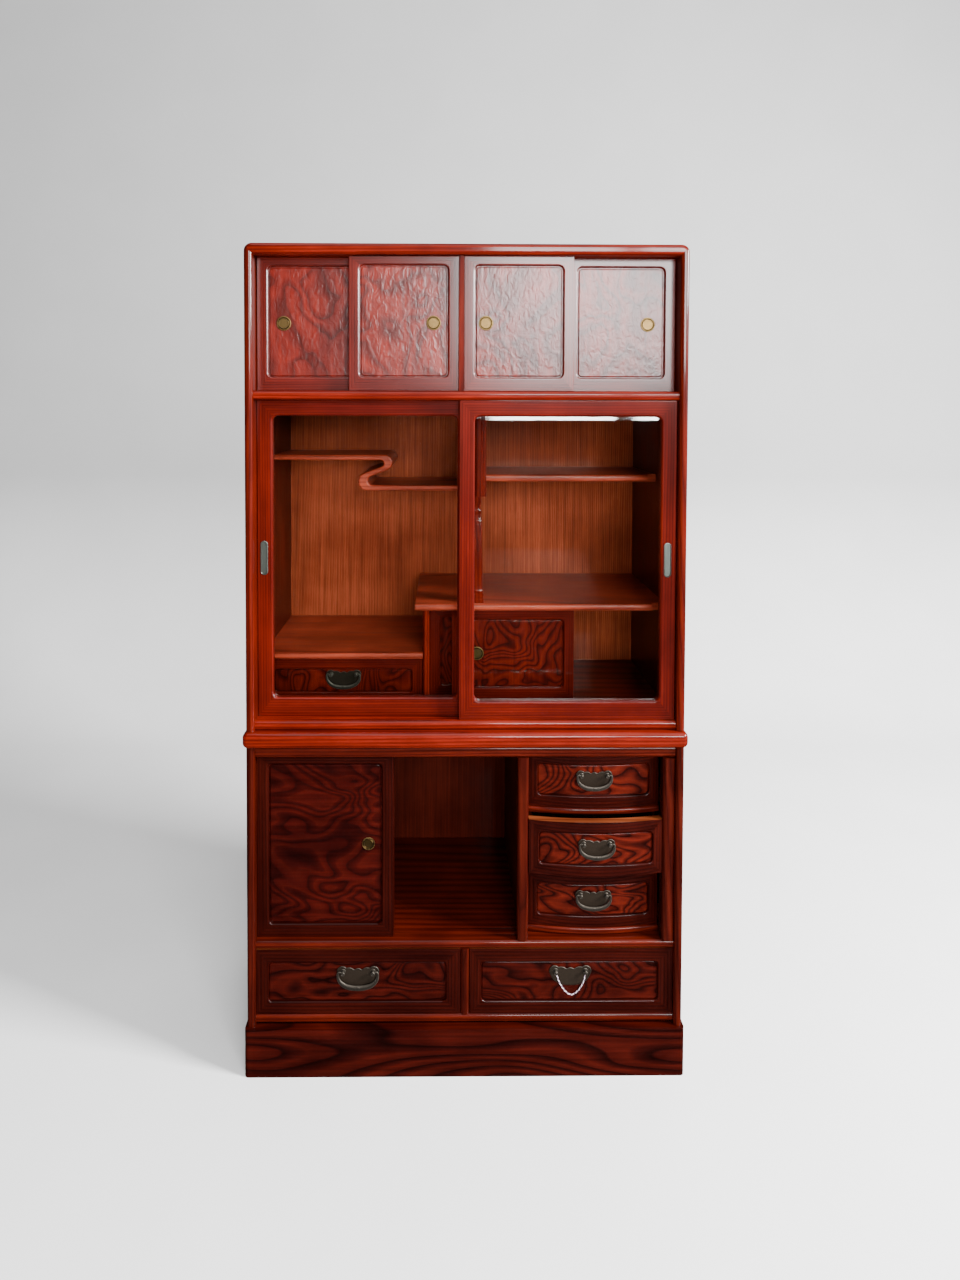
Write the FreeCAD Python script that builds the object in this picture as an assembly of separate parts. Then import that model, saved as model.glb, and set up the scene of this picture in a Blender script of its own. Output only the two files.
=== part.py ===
import FreeCAD, Part
import math
import os

# A two-storey Japanese tea cabinet: a lower chest with drawers, an open niche and sliding doors,
# and an upper cabinet with glass doors below a row of four small sliding doors.
# X runs to the right, Y runs backwards from the front edge of the side boards, Z is up from the floor.
# Everything is shifted at the end so that the origin is the centre of the footprint.

Vec = FreeCAD.Vector

# Carcass
body_width = 900.0
body_depth = 420.0
side_thick = 17.0
origin_depth = 203.0          # from the side boards' front edge back to the centre of the footprint
inner = body_width / 2 - side_thick
rail_setback = 8.0
back_face = 408.0
back_thick = 6.0
back_rebate = 7.0
edge_round = 7.5
shoulder_round = 16.0
frame_back = 30.0             # back face of the lower chest's front posts
head_rail_back = 75.0

# Heights of the horizontal boards, bottom to top
plinth_top = 100.0
lower_floor = (102.0, 121.0)
mid_board = (259.0, 276.0)
head_rail = (660.0, 685.0)
lower_top = (685.0, 718.0)
upper_floor = (718.0, 737.0)
door_shelf = (1397.0, 1415.0)
cabinet_top = (1690.0, 1712.0)

# Plinth and the lower chest's overhanging top
plinth_overhang = 4.0
plinth_front = -6.0
plinth_board = 20.0
top_overhang = 6.0
top_front = -8.0

# Sliding doors: a tongue along each long edge runs in a groove
gap = 0.5
tongue_thick = 7.0
groove_clear = 0.5
lower_groove = 3.0
upper_groove = 7.0
panel_tuck = 6.0

top_door = dict(thick=16.0, stile=22.0, bottom=28.0, top=19.0, recess=4.0, panel=9.0)
top_door_width = 224.0
top_door_tracks = {"front": 18.0, "rear": 38.0}
top_door_lefts = dict(far_left=-431.0, far_right=207.0)
strip = (-16.0, -6.0)         # upright strip between the two pairs of top doors
strip_front = 12.0

glass_door = dict(thick=18.0, stile=31.0, bottom=38.5, top=33.0, recess=7.0, panel=4.0)
glass_door_width = 445.0
glass_door_tracks = {"front": 15.0, "rear": 36.5}
glass_door_lefts = dict(rear=-432.0, front=-14.0)

small_door = dict(thick=14.0, stile=23.0, bottom=34.5, top=23.5, recess=3.5, panel=8.5)
small_door_width = 266.0
small_door_tracks = {"front": 110.0, "rear": 128.0}
small_door_left = -28.0

low_door = dict(thick=16.0, stile=24.0, bottom=28.0, top=18.0, recess=4.0, panel=9.0)
low_door_width = 283.0
low_door_tracks = {"front": 22.0, "rear": 42.0}

# Finger pulls: the flange, cup and dish are radii; z is the height of the pull's middle
top_pull = dict(z=1554.0, flange=15.0, cup=12.0, dish=9.8, depth=7.5, length=0)
top_pull_x = dict(far_left=-377.0, inner_left=-68.0, inner_right=39.0, far_right=375.0)
glass_pull = dict(z=1069.0, flange=7.5, cup=6.2, dish=5.2, depth=8.0, length=56.0)
glass_pull_x = dict(left=-418.0, right=414.0)
small_pull = dict(z=845.0, flange=14.5, cup=11.6, dish=9.6, depth=7.0, length=0)
small_pull_x = dict(front=27.0, rear=134.0)
low_pull = dict(z=472.0, flange=13.5, cup=11.0, dish=9.0, depth=7.5, length=0)
low_pull_inset = 52.0         # from the door's edge to the pull's middle
flange_thick = 1.2

# Inside the glass-door space
mid_shelf = (944.0, 959.0)
mid_shelf_left = -107.0
mid_shelf_front = 89.0
small_side = (-91.0, -77.0)
small_side_front = 100.0
drawer_shelf = (837.0, 851.0)
drawer_shelf_front = 96.0
right_shelf = (1215.0, 1231.0)
right_shelf_front = 171.0
nose_notch = 14.0
mid_nose_end = 403.0
right_nose_end = 411.0
hanging = (12.0, 46.0)
hanging_bottom = 1188.0
hanging_front = 110.0
ribbon_front = 200.0
ribbon_upper = (1261.0, 1273.0)
ribbon_lower = (1191.0, 1204.0)
ribbon_slope = math.radians(20.0)
post_middle = 25.0

# The hanging board's post: half widths up the front, then depths up its two side outlines
post_front = [(0, 16), (28, 16), (60, 14), (-24, 10.5), (0, 10.5)]
post_near = [(0, 97, 0), (28, 97, 0), (90, 104, 60), (-70, 116, 60), (-24, 112, 0), (0, 112, 0)]
post_far = [(0, 150, 0), (28, 150, 0), (80, 140, 60), (-80, 150, 60), (-24, 148, 0), (0, 148, 0)]

# Lower chest front
centre_stile = 9.0
divider = (107.5, 131.0)
right_post_left = 408.0
niche_wall = (112.0, 127.0)
bow_rails = [(276.0, 290.5), (405.0, 418.0), (531.5, 544.5)]
bow_rail_ends = 38.0
bow_sagitta = 13.0
bow_rail_back = 70.0
dust_board = 8.0
rail_reach = 400.0            # the dust boards and drawer guides end here
guide_height = 25.0

# Drawers
flat_face = 10.0
display_face = 107.0
bow_face_middle = 28.0
front_thick = 18.0
panel_recess = 3.5
drawer_side = 10.0
drawer_bottom = 5.0
drawer_reach = 396.0
drawer_lowered = 12.0         # the box stands this far below the front's top edge
drawer_clear = 2.0
bottom_raised = 4.0
wide_panel = dict(left=(-408.0, -39.0), right=(34.0, 402.0), z=(147.0, 229.5))
bow_panel = (235.0, 66.0)     # width and height of the bow drawers' sunk panel
display_panel = dict(x=(-414.0, -115.0), z=(762.0, 813.0))
middle_pulled = 33.0          # the middle bow drawer stands a little open

# Handles: a plate with two posts, and a bail that hangs on pins in the posts
plate_thick = 2.0
post_reach = 10.5
post_radius = 3.2
cap_radius = 4.0
pivot_off = 6.5               # from the plate's front to the bail's plane
pin_radius = 1.5
pin_hole = 1.56
bail_thick = 5.0
handle_post = 31.0
bow_handle_scale = 0.865
bail_ends = (38.5, 43.5)      # inner and outer half width of the crescent at its top
wide_handle = dict(left=-222.0, right=219.5, z=210.0)
display_handle = (-263.0, 801.0)
bow_handle_up = 12.0          # above the middle of its opening

# The string that stands in for the lost bail of the right wide drawer
string_radius = 1.3
string_route = [(-30.0, -1.0, 0.0), (-27.0, -12.0, -0.5), (-21.0, -25.5, 0.2), (-12.0, -39.0, 1.0),
                (0.5, -49.0, 1.6), (13.5, -41.0, 1.2), (23.5, -27.0, 0.6), (28.5, -12.5, -0.4),
                (30.0, -1.0, 0.0)]


def board(x, y, z):
    return Part.makeBox(x[1] - x[0], y[1] - y[0], z[1] - z[0], Vec(x[0], y[0], z[0]))


def rod(radius, start, direction, length):
    return Part.makeCylinder(radius, length, Vec(*start), Vec(*direction))


def outline(corners, close=True):
    # A closed wire through (a, b, radius) corners, each rounded by a tangent arc of that radius.
    count = len(corners)
    edges, ends = [], []
    for i, (a, b, radius) in enumerate(corners):
        here = Vec(a, b, 0)
        before = Vec(*corners[i - 1][:2], 0)
        after = Vec(*corners[(i + 1) % count][:2], 0)
        u, w = (before - here).normalize(), (after - here).normalize()
        half = u.getAngle(w) / 2
        if radius == 0:
            ends.append((here, here, None))
            continue
        reach = radius / math.tan(half)
        middle = here + (u + w).normalize() * (radius / math.sin(half) - radius)
        ends.append((here + u * reach, here + w * reach, middle))
    for i, (first, last, middle) in enumerate(ends):
        if middle is not None:
            edges.append(Part.Arc(first, middle, last).toShape())
        start_next = ends[(i + 1) % count][0]
        if (start_next - last).Length > 1e-6:
            edges.append(Part.LineSegment(last, start_next).toShape())
    return Part.Wire(edges)


def prism_y(wire, y):
    # The wire is drawn as (X, Z); the prism runs from y[0] back to y[1].
    face = Part.Face(wire)
    face.rotate(Vec(), Vec(1, 0, 0), 90)
    solid = face.extrude(Vec(0, y[0] - y[1], 0))
    solid.translate(Vec(0, y[1], 0))
    return solid


def prism_z(wire, z):
    solid = Part.Face(wire).extrude(Vec(0, 0, z[1] - z[0]))
    solid.translate(Vec(0, 0, z[0]))
    return solid


def rounded(shape, radius, wanted):
    return shape.makeFillet(radius, [e for e in shape.Edges if wanted(e)])


def ends_at(edge, axis, value):
    return all(abs(getattr(v.Point, axis) - value) < 0.01 for v in edge.Vertexes)


def runs_along(edge, axis):
    ends = [getattr(v.Point, axis) for v in edge.Vertexes]
    return len(ends) == 2 and abs(ends[0] - ends[1]) > 5


def nosed(x, y, z, radius):
    # A board with its two front long edges rounded over.
    return rounded(board(x, y, z), radius, lambda e: ends_at(e, "y", y[0]) and runs_along(e, "x"))


def groove(x, middle, z):
    half = tongue_thick / 2 + groove_clear
    return board(x, (middle - half, middle + half), z)


def track_middles(tracks, thick):
    return [face + thick / 2 for face in tracks.values()]


def save(name, *shapes):
    solids = [s.copy() for shape in shapes for s in shape.Solids]
    whole = Part.makeCompound(solids) if len(solids) > 1 else solids[0]
    whole.translate(Vec(0, -origin_depth, 0))
    whole.exportStep(f"parts/{name}.step")
    box = whole.BoundBox
    print(f"{name}: {len(solids)} solids, volume {whole.Volume / 1000:.1f} cm3, "
          f"y {box.YMin:.1f} to {box.YMax:.1f}")


# Fixed carcass

def side_rebate():
    edge = inner + back_rebate
    return board((-edge, edge), (back_face, body_depth + 1), (lower_floor[0], cabinet_top[0]))


def upper_frame():
    # Sides and top as one arch with rounded shoulders, then parted by mitres.
    half = body_width / 2
    arch = board((-half, half), (0, body_depth), (lower_top[1], cabinet_top[1]))
    arch = rounded(arch, shoulder_round, lambda e: runs_along(e, "y") and ends_at(e, "z", cabinet_top[1]))
    arch = arch.cut(board((-inner, inner), (-1, body_depth + 1), (lower_top[1] - 1, cabinet_top[0])))
    arch = rounded(arch, edge_round, lambda e: ends_at(e, "y", 0) and e.Length > 10
                   and not ends_at(e, "z", lower_top[1]))
    mitre = outline([(-inner, cabinet_top[0], 0), (inner, cabinet_top[0], 0),
                     (half, cabinet_top[1], 0), (-half, cabinet_top[1], 0)])
    wedge = prism_y(mitre, (-1, body_depth + 1))
    top = arch.common(wedge)
    for middle in track_middles(top_door_tracks, top_door["thick"]):
        top = top.cut(groove((-inner, inner), middle, (cabinet_top[0], cabinet_top[0] + upper_groove)))
    side = arch.cut(wedge).cut(side_rebate()).Solids[0]
    return side, side.mirror(Vec(), Vec(1, 0, 0)), top


def lower_sides():
    half = body_width / 2
    sides = []
    for low, high in ((-half, -inner), (inner, half)):
        side = board((low, high), (0, body_depth), (plinth_top, lower_top[0]))
        side = rounded(side, edge_round, lambda e: ends_at(e, "y", 0) and runs_along(e, "z"))
        sides.append(side.cut(side_rebate()))
    return sides


def full_board(z, radius):
    return nosed((-inner, inner), (rail_setback, back_face), z, radius)


def grooved(shape, tracks, door, x, z):
    for middle in track_middles(tracks, door["thick"]):
        shape = shape.cut(groove(x, middle, z))
    return shape


def upper_boards():
    full = (-inner, inner)
    shelf = full_board(door_shelf, 7)
    shelf = grooved(shelf, top_door_tracks, top_door, full, (door_shelf[1] - lower_groove, door_shelf[1]))
    under = (door_shelf[0], door_shelf[0] + upper_groove)
    shelf = grooved(shelf, glass_door_tracks, glass_door, full, under)
    save("door_shelf", shelf)

    floor = full_board(upper_floor, 8)
    low = (upper_floor[1] - lower_groove, upper_floor[1])
    floor = grooved(floor, glass_door_tracks, glass_door, full, low)
    floor = grooved(floor, small_door_tracks, small_door, (small_side[1], inner), low)
    save("upper_bottom_board", floor)

    rear_back = top_door_tracks["rear"] + top_door["thick"]
    save("divider_strip", board(strip, (strip_front, rear_back), (door_shelf[1], cabinet_top[0])))
    for name, z in (("upper_back_panel", (upper_floor[1], cabinet_top[0])),
                    ("lower_back_panel", (lower_floor[1], head_rail[1]))):
        edge = inner + back_rebate - gap
        save(name, board((-edge, edge), (back_face, back_face + back_thick), z))


def nose_stopped(x, y, z, stop):
    # A shelf whose rounded nose ends short of the side board; the rest of its front stands back.
    shelf = board(x, y, z).cut(board((stop, x[1] + 1), (y[0] - 1, y[0] + nose_notch), z))
    return rounded(shelf, 6, lambda e: ends_at(e, "y", y[0]) and runs_along(e, "x"))


def display_shelves():
    shelf = nose_stopped((mid_shelf_left, inner), (mid_shelf_front, back_face), mid_shelf, mid_nose_end)
    top_of_groove = (mid_shelf[0], mid_shelf[0] + 5)
    shelf = grooved(shelf, small_door_tracks, small_door, (small_side[1], inner), top_of_groove)
    save("mid_shelf", shelf)

    save("right_shelf", nose_stopped((hanging[1], inner), (right_shelf_front, back_face),
                                     right_shelf, right_nose_end))

    top = nosed((-inner, small_side[0]), (drawer_shelf_front, back_face), drawer_shelf, 6)
    side = board(small_side, (small_side_front, back_face), (upper_floor[1], mid_shelf[0]))
    side = rounded(side, 5, lambda e: ends_at(e, "y", small_side_front) and runs_along(e, "z"))
    save("drawer_housing", top, side)

    board_end = board(hanging, (hanging_front, back_face), (hanging_bottom, door_shelf[0]))
    board_end = rounded(board_end, 6, lambda e: ends_at(e, "y", hanging_front) and runs_along(e, "z"))
    save("hanging_board", board_end)


def staggered_shelf():
    # One ribbon of wood: an upper shelf, a hairpin, a sloping tie, a second hairpin and a lower shelf.
    # The four hairpin curves are tangent arcs between the level lines and the two sloping lines.
    slope = math.tan(ribbon_slope)
    slope_low = (-207.0, 1226.5)
    slope_high = (-212.5, 1237.2)

    def on_low(z):
        return slope_low[0] + (z - slope_low[1]) / slope

    def on_high(z):
        return slope_high[0] + (z - slope_high[1]) / slope

    ribbon = outline([
        (-inner, ribbon_upper[1], 0), (on_low(ribbon_upper[1]), ribbon_upper[1], 18),
        (on_low(ribbon_lower[1]), ribbon_lower[1], 10.6), (hanging[0], ribbon_lower[1], 0),
        (hanging[0], ribbon_lower[0], 0), (on_high(ribbon_lower[0]), ribbon_lower[0], 21),
        (on_high(ribbon_upper[0]), ribbon_upper[0], 7.8), (-inner, ribbon_upper[0], 0)])
    save("staggered_shelf", prism_y(ribbon, (ribbon_front, back_face)))


def curved_post():
    # A slim post with a swelling side outline, square collars and a foot block.
    # The first three heights of an outline are counted up from the foot, the rest down from the head.
    def heights(rows):
        return [mid_shelf[1] + row[0] for row in rows[:3]] + [hanging_bottom + row[0] for row in rows[3:]]

    right = [(half, z, 0) for (_, half), z in zip(post_front, heights(post_front))]
    left = [(-half, z, 0) for half, z, _ in reversed(right)]
    front = prism_y(outline(right + left), (post_near[0][1], post_far[0][1]))
    front.translate(Vec(post_middle, 0, 0))
    near = [(y, z, radius) for (_, y, radius), z in zip(post_near, heights(post_near))]
    far = [(y, z, radius) for (_, y, radius), z in zip(post_far, heights(post_far))]
    profile = Part.Face(outline(near + far[::-1]))
    profile.rotate(Vec(), Vec(1, 0, 0), 90)
    profile.rotate(Vec(), Vec(0, 0, 1), 90)
    reach = 2 * post_front[0][1]  # half the slab's width: well past the post's own width
    slab = profile.extrude(Vec(2 * reach, 0, 0))
    slab.translate(Vec(post_middle - reach, 0, 0))
    save("curved_post", front.common(slab))


def lower_boards():
    half = body_width / 2 + top_overhang
    top = board((-half, half), (top_front, body_depth), lower_top)
    top = rounded(top, 10, lambda e: runs_along(e, "z") and ends_at(e, "y", top_front))
    top = rounded(top, 11, lambda e: e.BoundBox.ZLength < 0.01 and e.BoundBox.YMin < body_depth - 1)
    save("lower_top_board", top)

    niche = (-inner, divider[0])
    board_with_tracks = grooved(full_board(mid_board, 7), low_door_tracks, low_door, niche,
                                (mid_board[1] - lower_groove, mid_board[1]))
    save("lower_mid_board", board_with_tracks)
    save("lower_bottom_board", full_board(lower_floor, 8))


def bow(x, ends, sagitta, back, z):
    # A block with a bowed front: its plan is an arc in front and straight behind.
    left, right = x
    middle = (left + right) / 2
    arc = Part.Arc(Vec(left, ends, 0), Vec(middle, ends - sagitta, 0), Vec(right, ends, 0)).toShape()
    corners = [Vec(right, ends, 0), Vec(right, back, 0), Vec(left, back, 0), Vec(left, ends, 0)]
    lines = [Part.LineSegment(a, b).toShape() for a, b in zip(corners, corners[1:])]
    return prism_z(Part.Wire([arc] + lines), z)


def lower_frame():
    head = nosed((-inner, inner), (rail_setback, head_rail_back), head_rail, 8)
    head = grooved(head, low_door_tracks, low_door, (-inner, divider[0]),
                   (head_rail[0], head_rail[0] + upper_groove))
    pieces = [head]
    posts = (((-centre_stile, centre_stile), rail_setback, (lower_floor[1], mid_board[0])),
             (divider, rail_setback, (mid_board[1], head_rail[0])),
             ((right_post_left, inner), 5, (mid_board[1], head_rail[0])))
    for x, front, z in posts:
        post = board(x, (front, frame_back), z)
        pieces.append(rounded(post, 7, lambda e: ends_at(e, "y", front) and runs_along(e, "z")))
    for z in bow_rails:
        rail = bow((divider[1], right_post_left), bow_rail_ends, bow_sagitta, bow_rail_back, z)
        pieces.append(rounded(rail, 5, lambda e: e.BoundBox.YMax < bow_rail_ends + 0.1
                              and e.BoundBox.ZLength < 0.01))
    save("lower_frame", *pieces)


def drawer_partitions():
    wall = board(niche_wall, (frame_back, back_face), (mid_board[1], head_rail[0]))
    head_back = board((niche_wall[0], inner), (head_rail_back, back_face), head_rail)
    middle_wall = board((-6, 6), (frame_back, back_face), (lower_floor[1], mid_board[0]))
    pieces = [wall, head_back, middle_wall]
    for low, high in bow_rails:
        pieces.append(board((niche_wall[1], inner), (bow_rail_back, rail_reach), (high - dust_board, high)))
        guide = (bow_rail_back, rail_reach), (high, high + guide_height)
        pieces.append(board((right_post_left, inner), *guide))
    niche_lid = board((-inner, niche_wall[0]), (head_rail_back, back_face),
                      (head_rail[0], head_rail[0] + 10))
    save("drawer_partitions", *pieces, niche_lid)


def plinth():
    half = body_width / 2 + plinth_overhang
    z = (0, plinth_top)
    inside = (plinth_front + plinth_board, body_depth - plinth_board)
    front = board((-half, half), (plinth_front, inside[0]), z)
    front = rounded(front, 8, lambda e: runs_along(e, "z") and ends_at(e, "y", plinth_front))
    back = board((-half, half), (inside[1], body_depth), z)
    ends = [board(x, inside, z) for x in ((-half, plinth_board - half), (half - plinth_board, half))]
    save("plinth", front, back, *ends)


# Doors

def door_leaf(left, width, face, z, door):
    # Returns the frame's four members, grooved for the panel, and the panel itself.
    right = left + width
    low, high = z[0] + gap, z[1] - gap
    lower_tongue, upper_tongue = lower_groove - 0.7, upper_groove - 2
    back = face + door["thick"]
    middle = (face + back) / 2
    tongue = (middle - tongue_thick / 2, middle + tongue_thick / 2)
    stile, bottom, top = door["stile"], door["bottom"] - gap, door["top"] - gap
    panel_y = (face + door["recess"], face + door["recess"] + door["panel"])
    panel = board((left + stile - panel_tuck, right - stile + panel_tuck), panel_y,
                  (low + bottom - panel_tuck, high - top + panel_tuck))
    members = []
    for x in ((left, left + stile), (right - stile, right)):
        member = board(x, (face, back), (low, high))
        member = member.fuse(board(x, tongue, (low - lower_tongue, high + upper_tongue)))
        members.append(member.removeSplitter())
    x = (left + stile, right - stile)
    rail = board(x, (face, back), (low, low + bottom))
    members.append(rail.fuse(board(x, tongue, (low - lower_tongue, low + 1))).removeSplitter())
    rail = board(x, (face, back), (high - top, high))
    members.append(rail.fuse(board(x, tongue, (high - 1, high + upper_tongue))).removeSplitter())
    return [m.cut(panel) for m in members], panel


def slot_prism(x, z, radius, length, y):
    # A round (length 0) or upright oblong prism.
    if length == 0:
        return rod(radius, (x, y[0], z), (0, 1, 0), y[1] - y[0])
    up, down = z + length / 2, z - length / 2
    wire = Part.Wire([
        Part.Arc(Vec(x + radius, up, 0), Vec(x, up + radius, 0), Vec(x - radius, up, 0)).toShape(),
        Part.LineSegment(Vec(x - radius, up, 0), Vec(x - radius, down, 0)).toShape(),
        Part.Arc(Vec(x - radius, down, 0), Vec(x, down - radius, 0), Vec(x + radius, down, 0)).toShape(),
        Part.LineSegment(Vec(x + radius, down, 0), Vec(x + radius, up, 0)).toShape()])
    return prism_y(wire, y)


def finger_pull(x, face, pull):
    # A flange on the door's face and a cup let into the wood; returns the pull and its mortise.
    def prism(radius, near, far):
        return slot_prism(x, pull["z"], radius, pull["length"], (face + near, face + far))

    depth = pull["depth"]
    solid = prism(pull["flange"], -flange_thick, 0).fuse(prism(pull["cup"], 0, depth))
    solid = solid.cut(prism(pull["dish"], -2, depth - flange_thick))
    return solid.removeSplitter(), prism(pull["cup"] + 0.1, -0.5, depth + 0.1)


def wooden_door(name, left, width, face, z, door, pull_x, pull):
    members, panel = door_leaf(left, width, face, z, door)
    solid, mortise = finger_pull(pull_x, face + door["recess"], pull)
    save(name, *members, panel.cut(mortise))
    save(name + "_pull", solid)


def glass_sliding_door(name, left, face, pull_x):
    z = (upper_floor[1], door_shelf[0])
    members, pane = door_leaf(left, glass_door_width, face, z, glass_door)
    solid, mortise = finger_pull(pull_x, face, glass_pull)
    members = [m.cut(mortise) for m in members]
    save(name + "_frame", *members)
    save(name + "_glass", pane)
    save(name + "_pull", solid)


def doors():
    front, rear = top_door_tracks["front"], top_door_tracks["rear"]
    lefts = dict(top_door_lefts, inner_left=strip[0] - gap - top_door_width, inner_right=strip[1] + gap)
    for place, face in (("far_left", rear), ("inner_left", front),
                        ("inner_right", front), ("far_right", rear)):
        wooden_door("top_door_" + place, lefts[place], top_door_width, face,
                    (door_shelf[1], cabinet_top[0]), top_door, top_pull_x[place], top_pull)

    glass_sliding_door("left_glass_door", glass_door_lefts["rear"], glass_door_tracks["rear"],
                       glass_pull_x["left"])
    glass_sliding_door("right_glass_door", glass_door_lefts["front"], glass_door_tracks["front"],
                       glass_pull_x["right"])

    for place, left in (("front", small_door_left), ("rear", small_side[1] + gap)):
        wooden_door("small_door_" + place, left, small_door_width, small_door_tracks[place],
                    (upper_floor[1], mid_shelf[0]), small_door, small_pull_x[place], small_pull)

    left = -inner + gap
    for place, pull_x in (("front", left + low_door_width - low_pull_inset),
                          ("rear", left + low_pull_inset)):
        wooden_door("niche_door_" + place, left, low_door_width, low_door_tracks[place],
                    (mid_board[1], head_rail[0]), low_door, pull_x, low_pull)


# Drawers and their handles

def drawer_box(x, y, z):
    # Two sides, a back and a bottom behind the drawer's front.
    top = z[1] - drawer_lowered
    left, right = x[0] + drawer_clear, x[1] - drawer_clear
    sides = [board((left, left + drawer_side), y, (z[0], top)),
             board((right - drawer_side, right), y, (z[0], top))]
    between = (left + drawer_side, right - drawer_side)
    back = board(between, (y[1] - drawer_side, y[1]), (z[0], top))
    under = z[0] + bottom_raised
    bottom = board(between, (y[0], y[1] - drawer_side), (under, under + drawer_bottom))
    return sides + [back, bottom]


def flat_drawer(name, x, face, z, panel_x, panel_z, reach):
    front = board(x, (face, face + front_thick), z)
    front = front.cut(board(panel_x, (face - 1, face + panel_recess), panel_z))
    save(name, front, *drawer_box(x, (face + front_thick, reach), z))


def bow_drawer(name, opening, pulled):
    x = (divider[1] + gap, right_post_left - gap)
    z = (opening[0] + gap, opening[1] - gap)
    sagitta = bow_sagitta + 1
    front = bow(x, bow_face_middle + sagitta, sagitta, bow_face_middle + sagitta + front_thick, z)
    behind = front.copy()
    behind.translate(Vec(0, panel_recess, 0))
    middle, height = sum(x) / 2, sum(z) / 2
    wide, tall = bow_panel[0] / 2, bow_panel[1] / 2
    window = board((middle - wide, middle + wide), (0, 100), (height - tall, height + tall))
    front = front.cut(front.cut(behind).common(window))
    solids = [front] + drawer_box(x, (bow_face_middle + sagitta + front_thick, drawer_reach), z)
    for solid in solids:
        solid.translate(Vec(0, -pulled, 0))
    save(name, *solids)


def handle_plate(name, x, z, y, scale):
    # A kidney-shaped plate, two posts with caps, and a cross hole in each post for the bail's pins.
    def arc(*points):
        return Part.Arc(*[Vec(x + a * scale, z + b * scale, 0) for a, b in points]).toShape()

    wire = Part.Wire([
        arc((0, 3), (15, 6), (30, 10.5)), arc((30, 10.5), (40.5, 8.5), (44.5, 0)),
        arc((44.5, 0), (38, -18), (20, -29.5)), arc((20, -29.5), (0, -31), (-20, -29.5)),
        arc((-20, -29.5), (-38, -18), (-44.5, 0)), arc((-44.5, 0), (-40.5, 8.5), (-30, 10.5)),
        arc((-30, 10.5), (-15, 6), (0, 3))])
    plate = prism_y(wire, (y - plate_thick, y))
    front = y - plate_thick
    for side in (-1, 1):
        at = x + side * handle_post * scale
        post = rod(post_radius * scale, (at, front - post_reach, z), (0, 1, 0), post_reach)
        cap = rod(cap_radius * scale, (at, front - post_reach, z), (0, 1, 0), 2)
        plate = plate.fuse(post).fuse(cap)
        plate = plate.cut(rod(pin_hole, (at - 8, front - pivot_off, z), (1, 0, 0), 16))
    save(name, plate.removeSplitter())


def bail(name, x, z, y, scale):
    # A crescent, heaviest at the bottom, with a pin at each end that runs in the post.
    def arc(*points):
        return Part.Arc(*[Vec(x + a * scale, z + b * scale, 0) for a, b in points]).toShape()

    def line(a, b):
        return Part.LineSegment(*[Vec(x + p * scale, z + q * scale, 0) for p, q in (a, b)]).toShape()

    near, outer = bail_ends
    wire = Part.Wire([
        arc((outer, 2), (0, -36), (-outer, 2)), line((-outer, 2), (-near, 2)),
        arc((-near, 2), (0, -25.5), (near, 2)), line((near, 2), (outer, 2))])
    plane = y - plate_thick - pivot_off
    crescent = prism_y(wire, (plane - bail_thick / 2, plane + bail_thick / 2))
    for side in (-1, 1):
        start = x + side * handle_post * scale
        reach = (near + 2) * scale - handle_post * scale
        crescent = crescent.fuse(rod(pin_radius, (start, plane, z), (side, 0, 0), reach))
    save(name, crescent.removeSplitter())


def pull_string(x, z, plane):
    # Straight runs joined by tangent arcs, swept by a circle.
    points = [Vec(x + a, plane + back, z + b) for a, b, back in string_route]
    edges, last, radii = [], points[0], []
    for before, here, after in zip(points, points[1:], points[2:]):
        u, w = (before - here), (after - here)
        shorter = min(u.Length, w.Length)
        u.normalize()
        w.normalize()
        half_turn = (math.pi - u.getAngle(w)) / 2
        reach = 0.45 * shorter
        radius = reach / math.tan(half_turn)
        radii.append(radius)
        centre_off = radius / math.cos(half_turn)
        middle = here + (u + w).normalize() * (centre_off - radius)
        edges.append(Part.LineSegment(last, here + u * reach).toShape())
        edges.append(Part.Arc(here + u * reach, middle, here + w * reach).toShape())
        last = here + w * reach
    edges.append(Part.LineSegment(last, points[-1]).toShape())
    path = Part.Wire(edges)
    circle = Part.Wire(Part.Circle(points[0], points[1] - points[0], string_radius).toShape())
    tube = path.makePipeShell([circle], True, False)
    expected = math.pi * string_radius ** 2 * path.Length
    print(f"string: length {path.Length:.1f}, tightest bend {min(radii):.1f}, "
          f"volume {tube.Volume:.1f} of {expected:.1f}")
    save("pull_string", tube)


def drawers():
    z = (lower_floor[1] + gap, mid_board[0] - gap)
    spans = dict(left=(-inner + gap, -centre_stile - gap), right=(centre_stile + gap, inner - gap))
    handle_z, plate_back = wide_handle["z"], flat_face + panel_recess
    for side, span in spans.items():
        name = side + "_wide_drawer"
        flat_drawer(name, span, flat_face, z, wide_panel[side], wide_panel["z"], drawer_reach)
        handle_plate(name + "_plate", wide_handle[side], handle_z, plate_back, 1)
    bail("left_wide_drawer_bail", wide_handle["left"], handle_z, plate_back, 1)
    pull_string(wide_handle["right"], handle_z, plate_back - plate_thick - pivot_off)

    middle = (divider[1] + right_post_left) / 2
    tops = [bow_rails[1][0], bow_rails[2][0], head_rail[0]]
    for name, rail, top, pulled in zip(("bow_drawer_bottom", "bow_drawer_middle", "bow_drawer_top"),
                                       bow_rails, tops, (0, middle_pulled, 0)):
        bow_drawer(name, (rail[1], top), pulled)
        y = bow_face_middle + panel_recess - pulled
        height = (rail[1] + top) / 2 + bow_handle_up
        handle_plate(name + "_plate", middle, height, y, bow_handle_scale)
        bail(name + "_bail", middle, height, y, bow_handle_scale)

    z = (upper_floor[1] + gap, drawer_shelf[0] - gap)
    flat_drawer("display_drawer", (-inner + gap, small_side[0] - gap), display_face, z,
                display_panel["x"], display_panel["z"], drawer_reach)
    y = display_face + panel_recess
    handle_plate("display_drawer_plate", *display_handle, y, bow_handle_scale)
    bail("display_drawer_bail", *display_handle, y, bow_handle_scale)


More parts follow.
